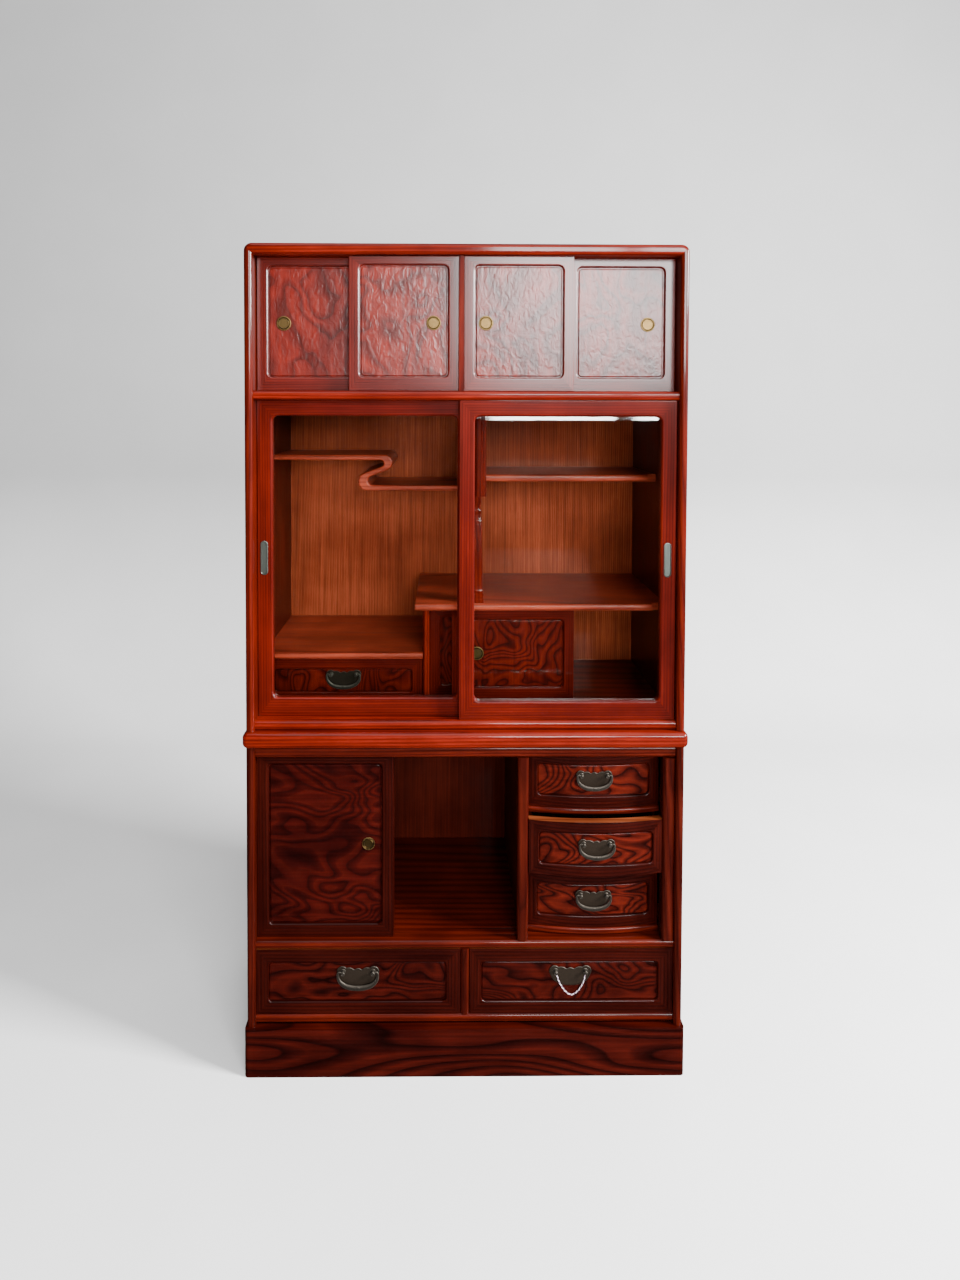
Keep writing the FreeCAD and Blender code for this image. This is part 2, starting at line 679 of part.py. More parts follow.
def build():
    os.makedirs("parts", exist_ok=True)
    left, right, top = upper_frame()
    save("upper_side_boards", left, right)
    save("upper_top_board", top)
    save("lower_side_boards", *lower_sides())
    upper_boards()
    display_shelves()
    staggered_shelf()
    curved_post()
    lower_boards()
    lower_frame()
    drawer_partitions()
    plinth()
    doors()
    drawers()


build()
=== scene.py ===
import bmesh, bpy, math
from mathutils import Matrix, Vector


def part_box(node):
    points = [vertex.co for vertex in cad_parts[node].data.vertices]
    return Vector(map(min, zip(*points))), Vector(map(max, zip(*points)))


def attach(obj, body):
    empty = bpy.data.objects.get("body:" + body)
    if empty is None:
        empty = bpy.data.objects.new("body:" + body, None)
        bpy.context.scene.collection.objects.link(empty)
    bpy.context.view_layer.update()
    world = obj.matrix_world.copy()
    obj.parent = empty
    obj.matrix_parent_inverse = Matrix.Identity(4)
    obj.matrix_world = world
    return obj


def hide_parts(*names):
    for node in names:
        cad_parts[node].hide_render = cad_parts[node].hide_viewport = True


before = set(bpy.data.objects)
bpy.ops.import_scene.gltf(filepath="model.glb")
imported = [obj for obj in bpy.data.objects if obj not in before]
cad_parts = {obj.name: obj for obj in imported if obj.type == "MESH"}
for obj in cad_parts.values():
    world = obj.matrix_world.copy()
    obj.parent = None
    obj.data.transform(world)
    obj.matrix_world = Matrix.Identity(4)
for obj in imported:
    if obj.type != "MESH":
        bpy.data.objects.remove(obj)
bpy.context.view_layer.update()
print("tea cabinet: frame loaded")

frontPlane = 203.0  # mm from the side boards' front edge back to the footprint's centre


def spot(x, y, z):  # cabinet millimetres (y back from the front plane) to the row frame
    return Vector((x, y - frontPlane, z)) / 1000


def nodeBox(node):  # a CAD node's box in cabinet millimetres
    low, high = (p * 1000 + Vector((0, frontPlane, 0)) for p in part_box(node))
    return [(low[i], high[i]) for i in range(3)]


camera = dict(x=-46, y=-1624, z=1387, lens=22.6, pitch=1.75, yaw=-0.55, roll=-0.15, shiftX=0.022,
              shiftY=-0.1645)

bpy.ops.object.camera_add(location=spot(camera["x"], camera["y"], camera["z"]))
eye = bpy.context.object
eye.rotation_euler = (math.radians(90 - camera["pitch"]), math.radians(camera["roll"]),
                      math.radians(camera["yaw"]))
eye.data.lens = camera["lens"]
eye.data.shift_x, eye.data.shift_y = camera["shiftX"], camera["shiftY"]
bpy.context.scene.camera = eye


def focus(piece):
    if bpy.context.object and bpy.context.object.mode != "OBJECT":
        bpy.ops.object.mode_set(mode="OBJECT")
    bpy.ops.object.select_all(action="DESELECT")
    piece.select_set(True)
    bpy.context.view_layer.objects.active = piece


def editAll(piece):  # edit mode, with everything selected
    focus(piece)
    bpy.ops.object.mode_set(mode="EDIT")
    bpy.ops.mesh.select_all(action="SELECT")


def settle(piece):  # its place, turn and size go into its mesh
    focus(piece)
    bpy.ops.object.transform_apply(location=True, rotation=True, scale=True)


def block(name, x, y, z):
    bpy.ops.object.select_all(action="DESELECT")
    low, high = spot(x[0], y[0], z[0]), spot(x[1], y[1], z[1])
    bpy.ops.mesh.primitive_cube_add(size=1, location=(low + high) / 2)
    piece = bpy.context.object
    piece.name = name
    piece.scale = high - low
    settle(piece)
    return piece


def middle(part):  # of a face or edge, in cabinet millimetres
    total = sum((v.co for v in part.verts), Vector()) / len(part.verts)
    return total * 1000 + Vector((0, frontPlane, 0))


def pick(piece, kind, wanted):  # edit mode, with the parts that pass the test selected
    focus(piece)
    bpy.ops.object.mode_set(mode="EDIT")
    bpy.ops.mesh.select_mode(type=kind)
    bpy.ops.mesh.select_all(action="DESELECT")
    mesh = bmesh.from_edit_mesh(piece.data)
    for part in {"VERT": mesh.verts, "EDGE": mesh.edges, "FACE": mesh.faces}[kind]:
        if wanted(part):
            part.select_set(True)
    bmesh.update_edit_mesh(piece.data)


def done():
    bpy.ops.object.mode_set(mode="OBJECT")


def fixNormals(piece):
    editAll(piece)
    bpy.ops.mesh.normals_make_consistent(inside=False)
    done()


def soften(piece, radius, steps, wanted):  # rounds the edges that pass the test
    pick(piece, "EDGE", wanted)
    bpy.ops.mesh.bevel(offset=radius / 1000, segments=steps, affect="EDGES", clamp_overlap=True)
    done()


def along(edge, axis):
    line = (edge.verts[0].co - edge.verts[1].co).normalized()
    return abs(line[axis]) > 0.99


def atY(edge, y):
    return all(abs(v.co.y * 1000 + frontPlane - y) < 0.05 for v in edge.verts)


def carve(piece, cutter):
    focus(piece)
    cut = piece.modifiers.new("cut", "BOOLEAN")
    cut.object, cut.operation, cut.solver = cutter, "DIFFERENCE", "EXACT"
    bpy.ops.object.modifier_apply(modifier=cut.name)
    bpy.data.objects.remove(cutter)


def smooth(piece, angle=32):  # round edges shade smoothly and flat faces stay flat
    focus(piece)
    bpy.ops.object.shade_smooth_by_angle(angle=math.radians(angle))
    level = piece.modifiers.new("level", "WEIGHTED_NORMAL")
    level.keep_sharp = True
    bpy.ops.object.modifier_apply(modifier=level.name)


def joined(name, pieces):
    focus(pieces[0])
    for piece in pieces:
        piece.select_set(True)
    bpy.ops.object.join()
    bpy.context.object.name = name
    return bpy.context.object


def paint(piece, *materials):  # faces keep the number of the material they were given
    numbers = [face.material_index for face in piece.data.polygons] if piece.type == "MESH" else []
    piece.data.materials.clear()
    for material in materials:
        piece.data.materials.append(material)
    for face, number in zip(piece.data.polygons if numbers else [], numbers):
        face.material_index = min(number, len(materials) - 1)


def place(piece, body, slot, *nodes):
    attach(piece, body)
    if nodes:
        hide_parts(*nodes)


def newPiece(name, data):
    piece = bpy.data.objects.new(name, data)
    bpy.context.scene.collection.objects.link(piece)
    return piece


def shifted(master, name, move, scale):  # a copy with its own mesh
    piece = newPiece(name, master.data.copy())
    start = spot(0, 0, 0)
    turn = Matrix.Translation(start + Vector(move) / 1000) @ Matrix.Scale(scale, 4)
    piece.data.transform(turn @ Matrix.Translation(-start))
    return piece


def linear(hexCode):
    def channel(c):
        return c / 12.92 if c <= 0.04045 else ((c + 0.055) / 1.055) ** 2.4
    return tuple(channel(int(hexCode[i:i + 2], 16) / 255) for i in (1, 3, 5)) + (1.0,)


def wire(tree, node, settings=(), links=()):  # sets a node's sockets and links what feeds them
    for socket, value in dict(settings).items():
        node.inputs[socket].default_value = value
    for socket, source in dict(links).items():
        tree.links.new(source, node.inputs[socket])


def addNode(tree, kind, settings=(), links=(), **fields):
    node = tree.nodes.new(kind)
    for field, value in fields.items():
        setattr(node, field, value)
    wire(tree, node, settings, links)
    return node


def newMaterial(name):
    material = bpy.data.materials.new(name)
    material.use_nodes = True
    tree = material.node_tree
    return material, tree, tree.nodes["Principled BSDF"]


def ramp(tree, source, *stops):  # stops are (place, hex colour)
    node = addNode(tree, "ShaderNodeValToRGB", links={0: source})
    band = node.color_ramp
    while len(band.elements) < len(stops):
        band.elements.new(0.5)
    for element, (at, colour) in zip(band.elements, stops):
        element.position, element.color = at, linear(colour)
    return node.outputs[0]


grainTurn = {"X": (0, math.radians(-90), 0), "Y": (math.radians(90), 0, 0), "Z": (0, 0, 0)}
zelkovaLook = dict(  # what a look below leaves out; spacing of the rings in mm, their heart in metres
    spacing=9, heart=(0.02, 0.1), tilt=9, lean=4, stretch=0.22, wobble=5, line=0.14, burl=0, pore=0.7,
    rough=0.42, coat=0.4, coatRough=0.1, spec=0.04, ripple=0)
grainNoise = {  # scale, length along the grain, detail and distortion
    # pores are 0.2 mm wide in life, drawn 1.5 mm wide and 25 mm long so that they show
    "pores": (420, 0.06, 2.0, 0.0),
    "streaks": (150.0, 0.03, 4.0, 0.0),
    "clouds": (7, 1, 3.0, 0.0),
    "ripples": (90.0, 0.6, 4.0, 0.9),  # sunk and puckered lacquer, 7 mm wide and 12 mm long
}
woodTints = (("streaks", 0.7, (0.3, "#9c9c9c"), (0.7, "#ffffff")),  # how much of each, and its darkest tone
             ("clouds", 1.0, (0.3, "#c4b6b0"), (0.68, "#ffffff")))


def lacqueredZelkova(own):
    # Zelkova under red-brown lacquer: growth rings show as dark lines of pores, with a soft gloss on top
    look = {**zelkovaLook, **own}
    material, tree, shader = newMaterial(look["name"])
    coords = addNode(tree, "ShaderNodeTexCoord").outputs["Object"]
    turned = addNode(tree, "ShaderNodeMapping", {"Rotation": grainTurn[look["grain"]]},
                     {"Vector": coords}).outputs[0]
    noise = {}
    for kind, (scale, length, detail, distortion) in grainNoise.items():
        if kind != "ripples" or look["ripple"]:
            drawn = addNode(tree, "ShaderNodeMapping", {"Scale": (1, 1, length)},
                            {"Vector": turned}).outputs[0]
            noise[kind] = addNode(tree, "ShaderNodeTexNoise",
                                  {"Scale": scale, "Detail": detail, "Distortion": distortion},
                                  {"Vector": drawn}).outputs["Fac"]
    tilt = (math.radians(look["tilt"]), math.radians(look["lean"]), 0)
    stretched = addNode(tree, "ShaderNodeMapping",
                        {"Scale": (1, 1, look["stretch"]), "Rotation": tilt,
                         "Location": (-look["heart"][0], -look["heart"][1], 0)},
                        {"Vector": turned}).outputs[0]
    if look["burl"]:  # burl: the rings fold into closed loops, like the lines of a map
        hills = addNode(tree, "ShaderNodeTexNoise", {"Scale": look["burl"], "Detail": 2.0,
                                                     "Roughness": 0.45, "Distortion": 0.5},
                        {"Vector": stretched}).outputs["Fac"]
        steps = addNode(tree, "ShaderNodeMath", {1: look["lines"]}, {0: hills},
                        operation="MULTIPLY").outputs[0]
        rings = addNode(tree, "ShaderNodeMath", links={0: steps}, operation="FRACT").outputs[0]
    else:  # the wave's period is 2 pi / (20 scale), so 314.16 / mm
        rings = addNode(tree, "ShaderNodeTexWave",
                        {"Scale": 314.16 / look["spacing"], "Distortion": look["wobble"], "Detail": 3.0,
                         "Detail Scale": 0.12, "Detail Roughness": 0.6}, {"Vector": stretched},
                        wave_type="RINGS", rings_direction="Z", wave_profile="SAW").outputs["Fac"]
    dark, mid, light = look["colours"]
    wood = ramp(tree, rings, (0.0, dark), (look["line"], mid), (0.5, light), (0.92, mid), (1.0, dark))
    for kind, share, *tones in woodTints:
        wood = addNode(tree, "ShaderNodeMix", {0: share}, {6: wood, 7: ramp(tree, noise[kind], *tones)},
                       data_type="RGBA", blend_type="MULTIPLY").outputs[2]
    # pores crowd at the start of each ring
    early = addNode(tree, "ShaderNodeMapRange", {1: 0.05, 2: 0.6, 3: 1.0, 4: 0.25}, {0: rings}).outputs[0]
    poreMask = addNode(tree, "ShaderNodeMapRange", {1: 0.36, 2: 0.48, 3: 1.0, 4: 0.0},
                       {0: noise["pores"]}).outputs[0]
    poreMask = addNode(tree, "ShaderNodeMath", links={0: poreMask, 1: early},
                       operation="MULTIPLY").outputs[0]
    poreMask = addNode(tree, "ShaderNodeMath", {1: look["pore"]}, {0: poreMask},
                       operation="MULTIPLY").outputs[0]
    wood = addNode(tree, "ShaderNodeMix", {7: linear(dark)}, {0: poreMask, 6: wood},
                   data_type="RGBA").outputs[2]
    rough = addNode(tree, "ShaderNodeMapRange", {1: 0.2, 2: 0.8, 3: look["rough"] - 0.05,
                                                 4: look["rough"] + 0.08}, {0: noise["streaks"]}).outputs[0]
    bump = addNode(tree, "ShaderNodeBump", {"Strength": 0.25, "Distance": 0.0003},
                   {"Height": noise["streaks"]})
    wire(tree, shader, {"Coat Weight": look["coat"], "Coat Roughness": look["coatRough"],
                        "Specular IOR Level": look["spec"]},
         {"Base Color": wood, "Roughness": rough, "Normal": bump.outputs[0]})
    if look["ripple"]:
        puckers = addNode(tree, "ShaderNodeMapRange", {1: 0.35, 2: 0.75, 3: 0.0, 4: 1.0},
                          {0: noise["ripples"]}).outputs[0]
        coatBump = addNode(tree, "ShaderNodeBump", {"Strength": look["ripple"], "Distance": 0.002},
                           {"Height": puckers}).outputs[0]
        wire(tree, shader, links={"Coat Normal": coatBump})
        wire(tree, bump, links={"Normal": coatBump})
    return material


redFrame = ("#3a0502", "#4e0a04", "#5c1206")  # dark line, mid, light
# painted light: a brighter copy of the red frame tones, as where light from above falls, for the boards
# across and the posts
litFrame = ("#440903", "#600e04", "#741a08")
# painted shade: darker copies of the same lacquered zelkova, for the parts low in the cabinet where the
# light falls off
shadedLowTones = ("#140201", "#2e0502", "#3a0903")
shadedLowFrame = ("#180201", "#260401", "#2e0602")

woodLooks = {
    "sideUpright": dict(name="zelkovaSideBoard", grain="Z", colours=("#380702", "#4c0b03", "#5c1405"),
                        spacing=6, heart=(0.15, 0.45), tilt=6, stretch=0.25, wobble=9, pore=0.9),
    # painted light: the boards across wear the brighter copy of the frame tones
    "boardAcross": dict(name="zelkovaBoard", grain="X", colours=litFrame, spacing=7, heart=(1.0, 0.4),
                        pore=0.9),
    "frameUpright": dict(name="zelkovaStile", grain="Z", colours=redFrame, spacing=5, heart=(1.6, 0.6),
                         pore=0.5),
    "frameAcross": dict(name="zelkovaRail", grain="X", colours=redFrame, spacing=5, heart=(1.0, 0.6),
                        pore=0.5),
    # painted shade: the low looks are darker copies of the upper ones, for the lower sides, boards, stiles
    # and rails where the light falls off
    "shadedLowSide": dict(name="zelkovaLowSideShaded", grain="Z", colours=("#240401", "#320602", "#400d03"), spacing=6,
                    heart=(0.15, 0.45), tilt=6, stretch=0.25, wobble=9, pore=0.8, coat=0.2),
    "shadedLowBoard": dict(name="zelkovaLowBoardShaded", grain="X", colours=("#2a0501", "#3e0902", "#501204"),
                     spacing=7, heart=(1.0, 0.4), pore=0.9, coat=0.25),
    "shadedLowUpright": dict(name="zelkovaLowStileShaded", grain="Z", colours=shadedLowFrame, spacing=6, heart=(1.6, 0.6),
                       pore=0.4, coat=0.25),
    "shadedLowAcross": dict(name="zelkovaLowRailShaded", grain="X", colours=shadedLowFrame, spacing=6, heart=(1.0, 0.6),
                      pore=0.4, coat=0.25),
    "burl": dict(name="zelkovaBurl", grain="Z", colours=("#260503", "#4e0c05", "#601408"), burl=8, lines=20,
                 line=0.3, stretch=0.7, pore=0.35),
    # painted shade: darker copies of the burl for the lower drawers and the niche doors, where the light
    # falls off
    "shadedLowBurl": dict(name="zelkovaLowBurlShaded", grain="X", colours=shadedLowTones, burl=8, lines=22, line=0.3,
                    stretch=0.6, pore=0.35, coat=0.25),
    "shadedBowBurl": dict(name="zelkovaBowBurlShaded", grain="X", colours=("#160201", "#3e0a03", "#521306"), burl=9,
                    lines=24, line=0.3, stretch=0.6, pore=0.35, coat=0.25),
    "shadedDoorBurl": dict(name="zelkovaDoorBurlShaded", grain="X", colours=("#1c0201", "#2e0402", "#380803"), burl=6,
                     lines=24, line=0.4, stretch=0.6, pore=0.35, coat=0.25),
    # painted light: a lighter copy of the burl for the top doors, where the light falls strongest; the
    # ripple bump is the lacquer's own pucker
    "rippledLitBurl": dict(name="zelkovaBurlRippledLit", grain="Z", colours=("#420b05", "#5e1006", "#70170a"),
                        burl=8, lines=8, line=0.3, stretch=0.8, pore=0.25, ripple=0.18, coat=1.0,
                        coatRough=0.28),
    # painted shade: the plinth takes the darkest low tones, down by the floor
    "plinth": dict(name="zelkovaPlinthShaded", grain="X", colours=shadedLowTones, burl=3.2, lines=26, line=0.35,
                   stretch=0.25, tilt=0, pore=0.6, coat=0.2),
    "back": dict(name="zelkovaBackPanel", grain="Z", colours=("#762a18", "#9e4429", "#b05236"), spacing=4,
                 heart=(0.6, 0.33), tilt=6, stretch=0.3, wobble=7, pore=0.8, coat=0.2, rough=0.5),
    # painted shade: a darker copy of the back panel for the low niche
    "shadedLowBack": dict(name="zelkovaLowBackPanelShaded", grain="Z", colours=("#300b04", "#3c0f06", "#461308"),
                    spacing=4, heart=(0.6, 0.33), tilt=6, stretch=0.3, wobble=7, pore=0.5, coat=0.1,
                    rough=0.5),
    # the shelf tones are partly painted light: raised so that the rounded noses come up as bright as their
    # highlights
    "shelf": dict(name="zelkovaShelf", grain="X", colours=("#6a2012", "#a03822", "#b4442c"), spacing=10,
                  heart=(1.0, 0.05), pore=0.6, coat=0.6, coatRough=0.25),
    # painted light: the posts wear the brighter copy of the frame tones
    "shelfUpright": dict(name="zelkovaPost", grain="Z", colours=litFrame, spacing=7, heart=(1.0, 0.5),
                         pore=0.8),
    "inner": dict(name="plainInnerBoard", grain="Y", colours=("#2c0d06", "#44150a", "#52200f"), spacing=10,
                  pore=0.4, coat=0.05, rough=0.6),
    "rawEdge": dict(name="plainWoodEdge", grain="X", colours=("#4c1e0c", "#6c3218", "#7c4022"), spacing=6,
                    heart=(1.0, 0.3), coat=0.05, rough=0.6),
}
for way, name in (("Upright", "zelkovaTopStile"), ("Across", "zelkovaTopRail")):  # glossier at the top
    woodLooks["topFrame" + way] = dict(woodLooks["frame" + way], name=name, coat=0.9, coatRough=0.25)
wood = {key: lacqueredZelkova(look) for key, look in woodLooks.items()}


def agedMetal(look):
    # Cast and patinated metal: dark in the hollows, rubbed bright on what fingers touch
    material, tree, shader = newMaterial(look["name"])
    coords = addNode(tree, "ShaderNodeTexCoord").outputs["Object"]
    stains = addNode(tree, "ShaderNodeTexNoise", {"Scale": look["stainScale"], "Detail": 5.0,
                                                  "Roughness": 0.6}, {"Vector": coords}).outputs["Fac"]
    worn = addNode(tree, "ShaderNodeNewGeometry").outputs["Pointiness"]
    rubbed = addNode(tree, "ShaderNodeMapRange", {1: 0.49, 2: 0.56, 3: 0.0, 4: look["rub"]},
                     {0: worn}).outputs[0]
    base = ramp(tree, stains, (0.32, look["dark"]), (0.7, look["mid"]))
    base = addNode(tree, "ShaderNodeMix", {7: linear(look["bright"])}, {0: rubbed, 6: base},
                   data_type="RGBA").outputs[2]
    rough = addNode(tree, "ShaderNodeMapRange", {1: 0.2, 2: 0.8, 3: look["rough"] + 0.12,
                                                 4: look["rough"] - 0.08}, {0: stains}).outputs[0]
    pits = addNode(tree, "ShaderNodeTexNoise", {"Scale": 900.0, "Detail": 2.0},
                   {"Vector": coords}).outputs["Fac"]  # casting grit of about 1 mm
    bump = addNode(tree, "ShaderNodeBump", {"Strength": 0.35, "Distance": 0.0003},
                   {"Height": pits}).outputs[0]
    wire(tree, shader, {"Metallic": look["metal"], "Specular IOR Level": look.get("spec", 0.5)},
         {"Base Color": base, "Roughness": rough, "Normal": bump})
    return material


metalLooks = {
    "plateIron": dict(name="blackenedIronPlate", dark="#030202", mid="#080504", bright="#3c3228", rub=0.2,
                      rough=0.6, metal=0.0, spec=0.03, stainScale=160),
    "castIron": dict(name="castIronPatina", dark="#0a0807", mid="#1a1613", bright="#6a6258", rub=0.45,
                     rough=0.45, metal=0.8, stainScale=120),
    "brass": dict(name="agedBrassRim", dark="#120c06", mid="#2e2414", bright="#94784a", rub=0.5,
                  rough=0.38, metal=1.0, stainScale=300),
    "dish": dict(name="polishedBrassDish", dark="#6a5630", mid="#a88c54", bright="#dcc890", rub=0.4,
                 rough=0.3, metal=0.9, stainScale=200),
    "bronze": dict(name="greyBronze", dark="#141814", mid="#2c322c", bright="#8c948c", rub=0.6,
                   rough=0.36, metal=0.95, stainScale=150),
}
metal = {key: agedMetal(look) for key, look in metalLooks.items()}


def clearPane(name, mirror):
    # Polished plate glass with a ground bevel: clear face on, bright where the bevel turns to the window
    material, tree, shader = newMaterial(name)
    tree.nodes.remove(shader)
    clear = addNode(tree, "ShaderNodeBsdfTransparent", {"Color": linear("#f4f8f6")}).outputs[0]
    coords = addNode(tree, "ShaderNodeTexCoord").outputs["Object"]
    smear = addNode(tree, "ShaderNodeTexNoise", {"Scale": 6.0, "Detail": 5.0, "Distortion": 0.6},
                    {"Vector": coords}).outputs["Fac"]
    haze = addNode(tree, "ShaderNodeMapRange", {1: 0.35, 2: 0.8, 3: 0.02, 4: 0.09}, {0: smear}).outputs[0]
    shine = addNode(tree, "ShaderNodeBsdfAnisotropic", links={"Roughness": haze},
                    settings={"Color": (1, 1, 1, 1)}).outputs[0]
    facing = addNode(tree, "ShaderNodeLayerWeight", {"Blend": 0.5}).outputs["Facing"]
    steep = addNode(tree, "ShaderNodeMath", {1: 5.0}, {0: facing}, operation="POWER").outputs[0]
    # glass mirrors 4.3% face on and more at a slant, the same from both sides
    edge = addNode(tree, "ShaderNodeMapRange", {1: 0.0, 2: 1.0, 3: 0.043, 4: 1.0}, {0: steep}).outputs[0]
    double = addNode(tree, "ShaderNodeMath", {1: mirror}, {0: edge}, operation="MULTIPLY",
                     use_clamp=True).outputs[0]
    mix = addNode(tree, "ShaderNodeMixShader", links={0: double, 1: clear, 2: shine}).outputs[0]
    wire(tree, tree.nodes["Material Output"], links={"Surface": mix})
    return material


paneGlass = [clearPane("plateGlass", 1.0), clearPane("groundGlassBevel", 2.6)]


def twistedYarn(name, light, dark):
    # Spun cotton: a dull, hairy surface
    material, tree, shader = newMaterial(name)
    coords = addNode(tree, "ShaderNodeTexCoord").outputs["Object"]
    fluff = addNode(tree, "ShaderNodeTexNoise", {"Scale": 1600.0, "Detail": 3.0},
                    {"Vector": coords}).outputs["Fac"]
    bump = addNode(tree, "ShaderNodeBump", {"Strength": 0.6, "Distance": 0.0003},
                   {"Height": fluff}).outputs[0]
    wire(tree, shader, {"Roughness": 0.85, "Sheen Weight": 0.3},
         {"Base Color": ramp(tree, fluff, (0.3, dark), (0.7, light)), "Normal": bump})
    return material


print("tea cabinet: materials ready")


pullString = dict(centre=(219.5, 5.0, 210.0), radius=1.3, strand=0.8, lead=9.0, sides=8,
                  route=[(-30, 0, -1), (-27, -0.5, -12), (-21, 0.2, -25.5), (-12, 1.0, -39),
                         (0.5, 1.6, -49), (13.5, 1.2, -41), (23.5, 0.6, -27), (28.5, -0.4, -12.5),
                         (30, 0, -1)])


def stringLine():  # points along the route's smooth line, about 1 mm apart
    x, y, z = pullString["centre"]
    curve = bpy.data.curves.new("stringRoute", "CURVE")
    curve.dimensions = "3D"
    curve.resolution_u = 16
    spline = curve.splines.new("NURBS")
    spline.points.add(len(pullString["route"]) - 1)
    for point, (a, back, b) in zip(spline.points, pullString["route"]):
        point.co = (*spot(x + a, y + back, z + b), 1)
    spline.order_u, spline.use_endpoint_u = 3, True
    guide = bpy.data.objects.new("stringRoute", curve)
    line = [v.co.copy() for v in bpy.data.meshes.new_from_object(guide).vertices]
    bpy.data.objects.remove(guide)
    return line


def makeString():  # two yarns that wind round each other
    line = stringLine()
    mesh = bpy.data.meshes.new("pull_string.twist")
    verts, faces, tones = [], [], []
    sides, strand = pullString["sides"], pullString["strand"] / 1000
    offset = pullString["radius"] / 1000 - strand
    rows = len(line)
    for tone in (0, 1):
        travelled, first = 0.0, len(verts)
        for i, here in enumerate(line):
            if i:
                travelled += (here - line[i - 1]).length
            way = (line[min(i + 1, rows - 1)] - line[max(i - 1, 0)]).normalized()
            side = way.cross(Vector((0, 1, 0))).normalized()
            up = side.cross(way)
            twist = 2 * math.pi * travelled * 1000 / pullString["lead"] + math.pi * tone
            middleOfStrand = here + (side * math.cos(twist) + up * math.sin(twist)) * offset
            for k in range(sides):
                turn = 2 * math.pi * k / sides
                verts.append(middleOfStrand + (side * math.cos(turn) + up * math.sin(turn)) * strand)
        for i in range(rows - 1):
            for k in range(sides):
                a, b = first + i * sides + k, first + i * sides + (k + 1) % sides
                faces.append((a, b, b + sides, a + sides))
                tones.append(tone)
        faces.append([first + k for k in range(sides)][::-1])
        faces.append([first + (rows - 1) * sides + k for k in range(sides)])
        tones += [tone, tone]
    mesh.from_pydata(verts, [], faces)
    for face, tone in zip(mesh.polygons, tones):
        face.material_index = tone
    piece = newPiece("pull_string.twist", mesh)
    paint(piece, twistedYarn("cottonYarnPale", "#d8d0d0", "#a89ca0"),
          twistedYarn("cottonYarnPurple", "#6e4a6a", "#3c2638"))
    fixNormals(piece)
    smooth(piece, 60)
    place(piece, "right_wide_drawer", "string", "pull_string")


makeString()
print("tea cabinet: string")


# the lower boards and the niche back take the darker copies, painted shade; the boards across take the
# brighter frame tones, painted light
keptBoards = {
    "upper_side_boards": "sideUpright", "lower_side_boards": "shadedLowSide",
    "upper_top_board": "boardAcross", "lower_top_board": "boardAcross", "door_shelf": "boardAcross",
    "upper_bottom_board": "boardAcross", "lower_mid_board": "shadedLowBoard",
    "lower_bottom_board": "shadedLowBoard", "divider_strip": "sideUpright",
    "upper_back_panel": "back", "lower_back_panel": "shadedLowBack",
    "mid_shelf": "shelf", "right_shelf": "shelf", "drawer_partitions": "inner",
}
for node, look in keptBoards.items():
    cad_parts[node].material_slots[0].material = wood[look]


def copyOf(node, name):  # a clean, closed copy of a CAD node's mesh, to work on
    piece = newPiece(name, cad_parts[node].data.copy())
    editAll(piece)
    bpy.ops.mesh.remove_doubles(threshold=0.00001)
    bpy.ops.mesh.customdata_custom_splitnormals_clear()
    bpy.ops.mesh.dissolve_limited(angle_limit=math.radians(1))
    done()
    return piece


def splitNode(node, slot, uprightLook, acrossLook):  # one piece for each board of a node
    copyOf(node, node + ".board")
    bpy.ops.mesh.separate(type="LOOSE")
    boards = sorted(bpy.context.selected_objects, key=lambda b: tuple(b.bound_box[0]))
    for i, board in enumerate(boards):
        size = [max(c[k] for c in board.bound_box) - min(c[k] for c in board.bound_box) for k in range(3)]
        board.name = f"{node}.board{i + 1}"
        paint(board, wood[uprightLook if size[2] > size[0] else acrossLook])
        smooth(board)
        place(board, "carcass", slot, *([node] if i == 0 else []))


# painted shade: the lower frame takes the darker low copies, the plinth the darkest tones
splitNode("lower_frame", "carcass_wood", "shadedLowSide", "shadedLowBoard")
splitNode("plinth", "carcass_wood", "plinth", "plinth")
splitNode("drawer_housing", "shelf_wood", "shelfUpright", "shelf")
print("tea cabinet: fixed boards")


ribbon = dict(front=200.0, nose=4.0)


def makeStaggeredShelf():
    piece = copyOf("staggered_shelf", "staggered_shelf.ribbon")
    soften(piece, ribbon["nose"], 4, lambda e: atY(e, ribbon["front"]))
    paint(piece, wood["shelf"])
    smooth(piece, 40)
    place(piece, "carcass", "shelf_wood", "staggered_shelf")


hangingBoard = dict(bead=(20.5, 37.5), beadRoot=4, beadRound=5.0, shoulder=6.0, edge=2.0)


def makeHangingBoard():
    x, y, z = nodeBox("hanging_board")
    shoulder = y[0] + hangingBoard["shoulder"]
    body = block("hanging_board.shoulders", x, (shoulder, y[1]), z)
    soften(body, hangingBoard["edge"], 3, lambda e: along(e, 2) and atY(e, shoulder))
    bead = block("bead", hangingBoard["bead"], (y[0], shoulder + hangingBoard["beadRoot"]), z)
    soften(bead, hangingBoard["beadRound"], 5, lambda e: along(e, 2) and atY(e, y[0]))
    piece = joined("hanging_board.beaded", [body, bead])
    paint(piece, wood["shelfUpright"])
    smooth(piece)
    place(piece, "carcass", "shelf_wood", "hanging_board")


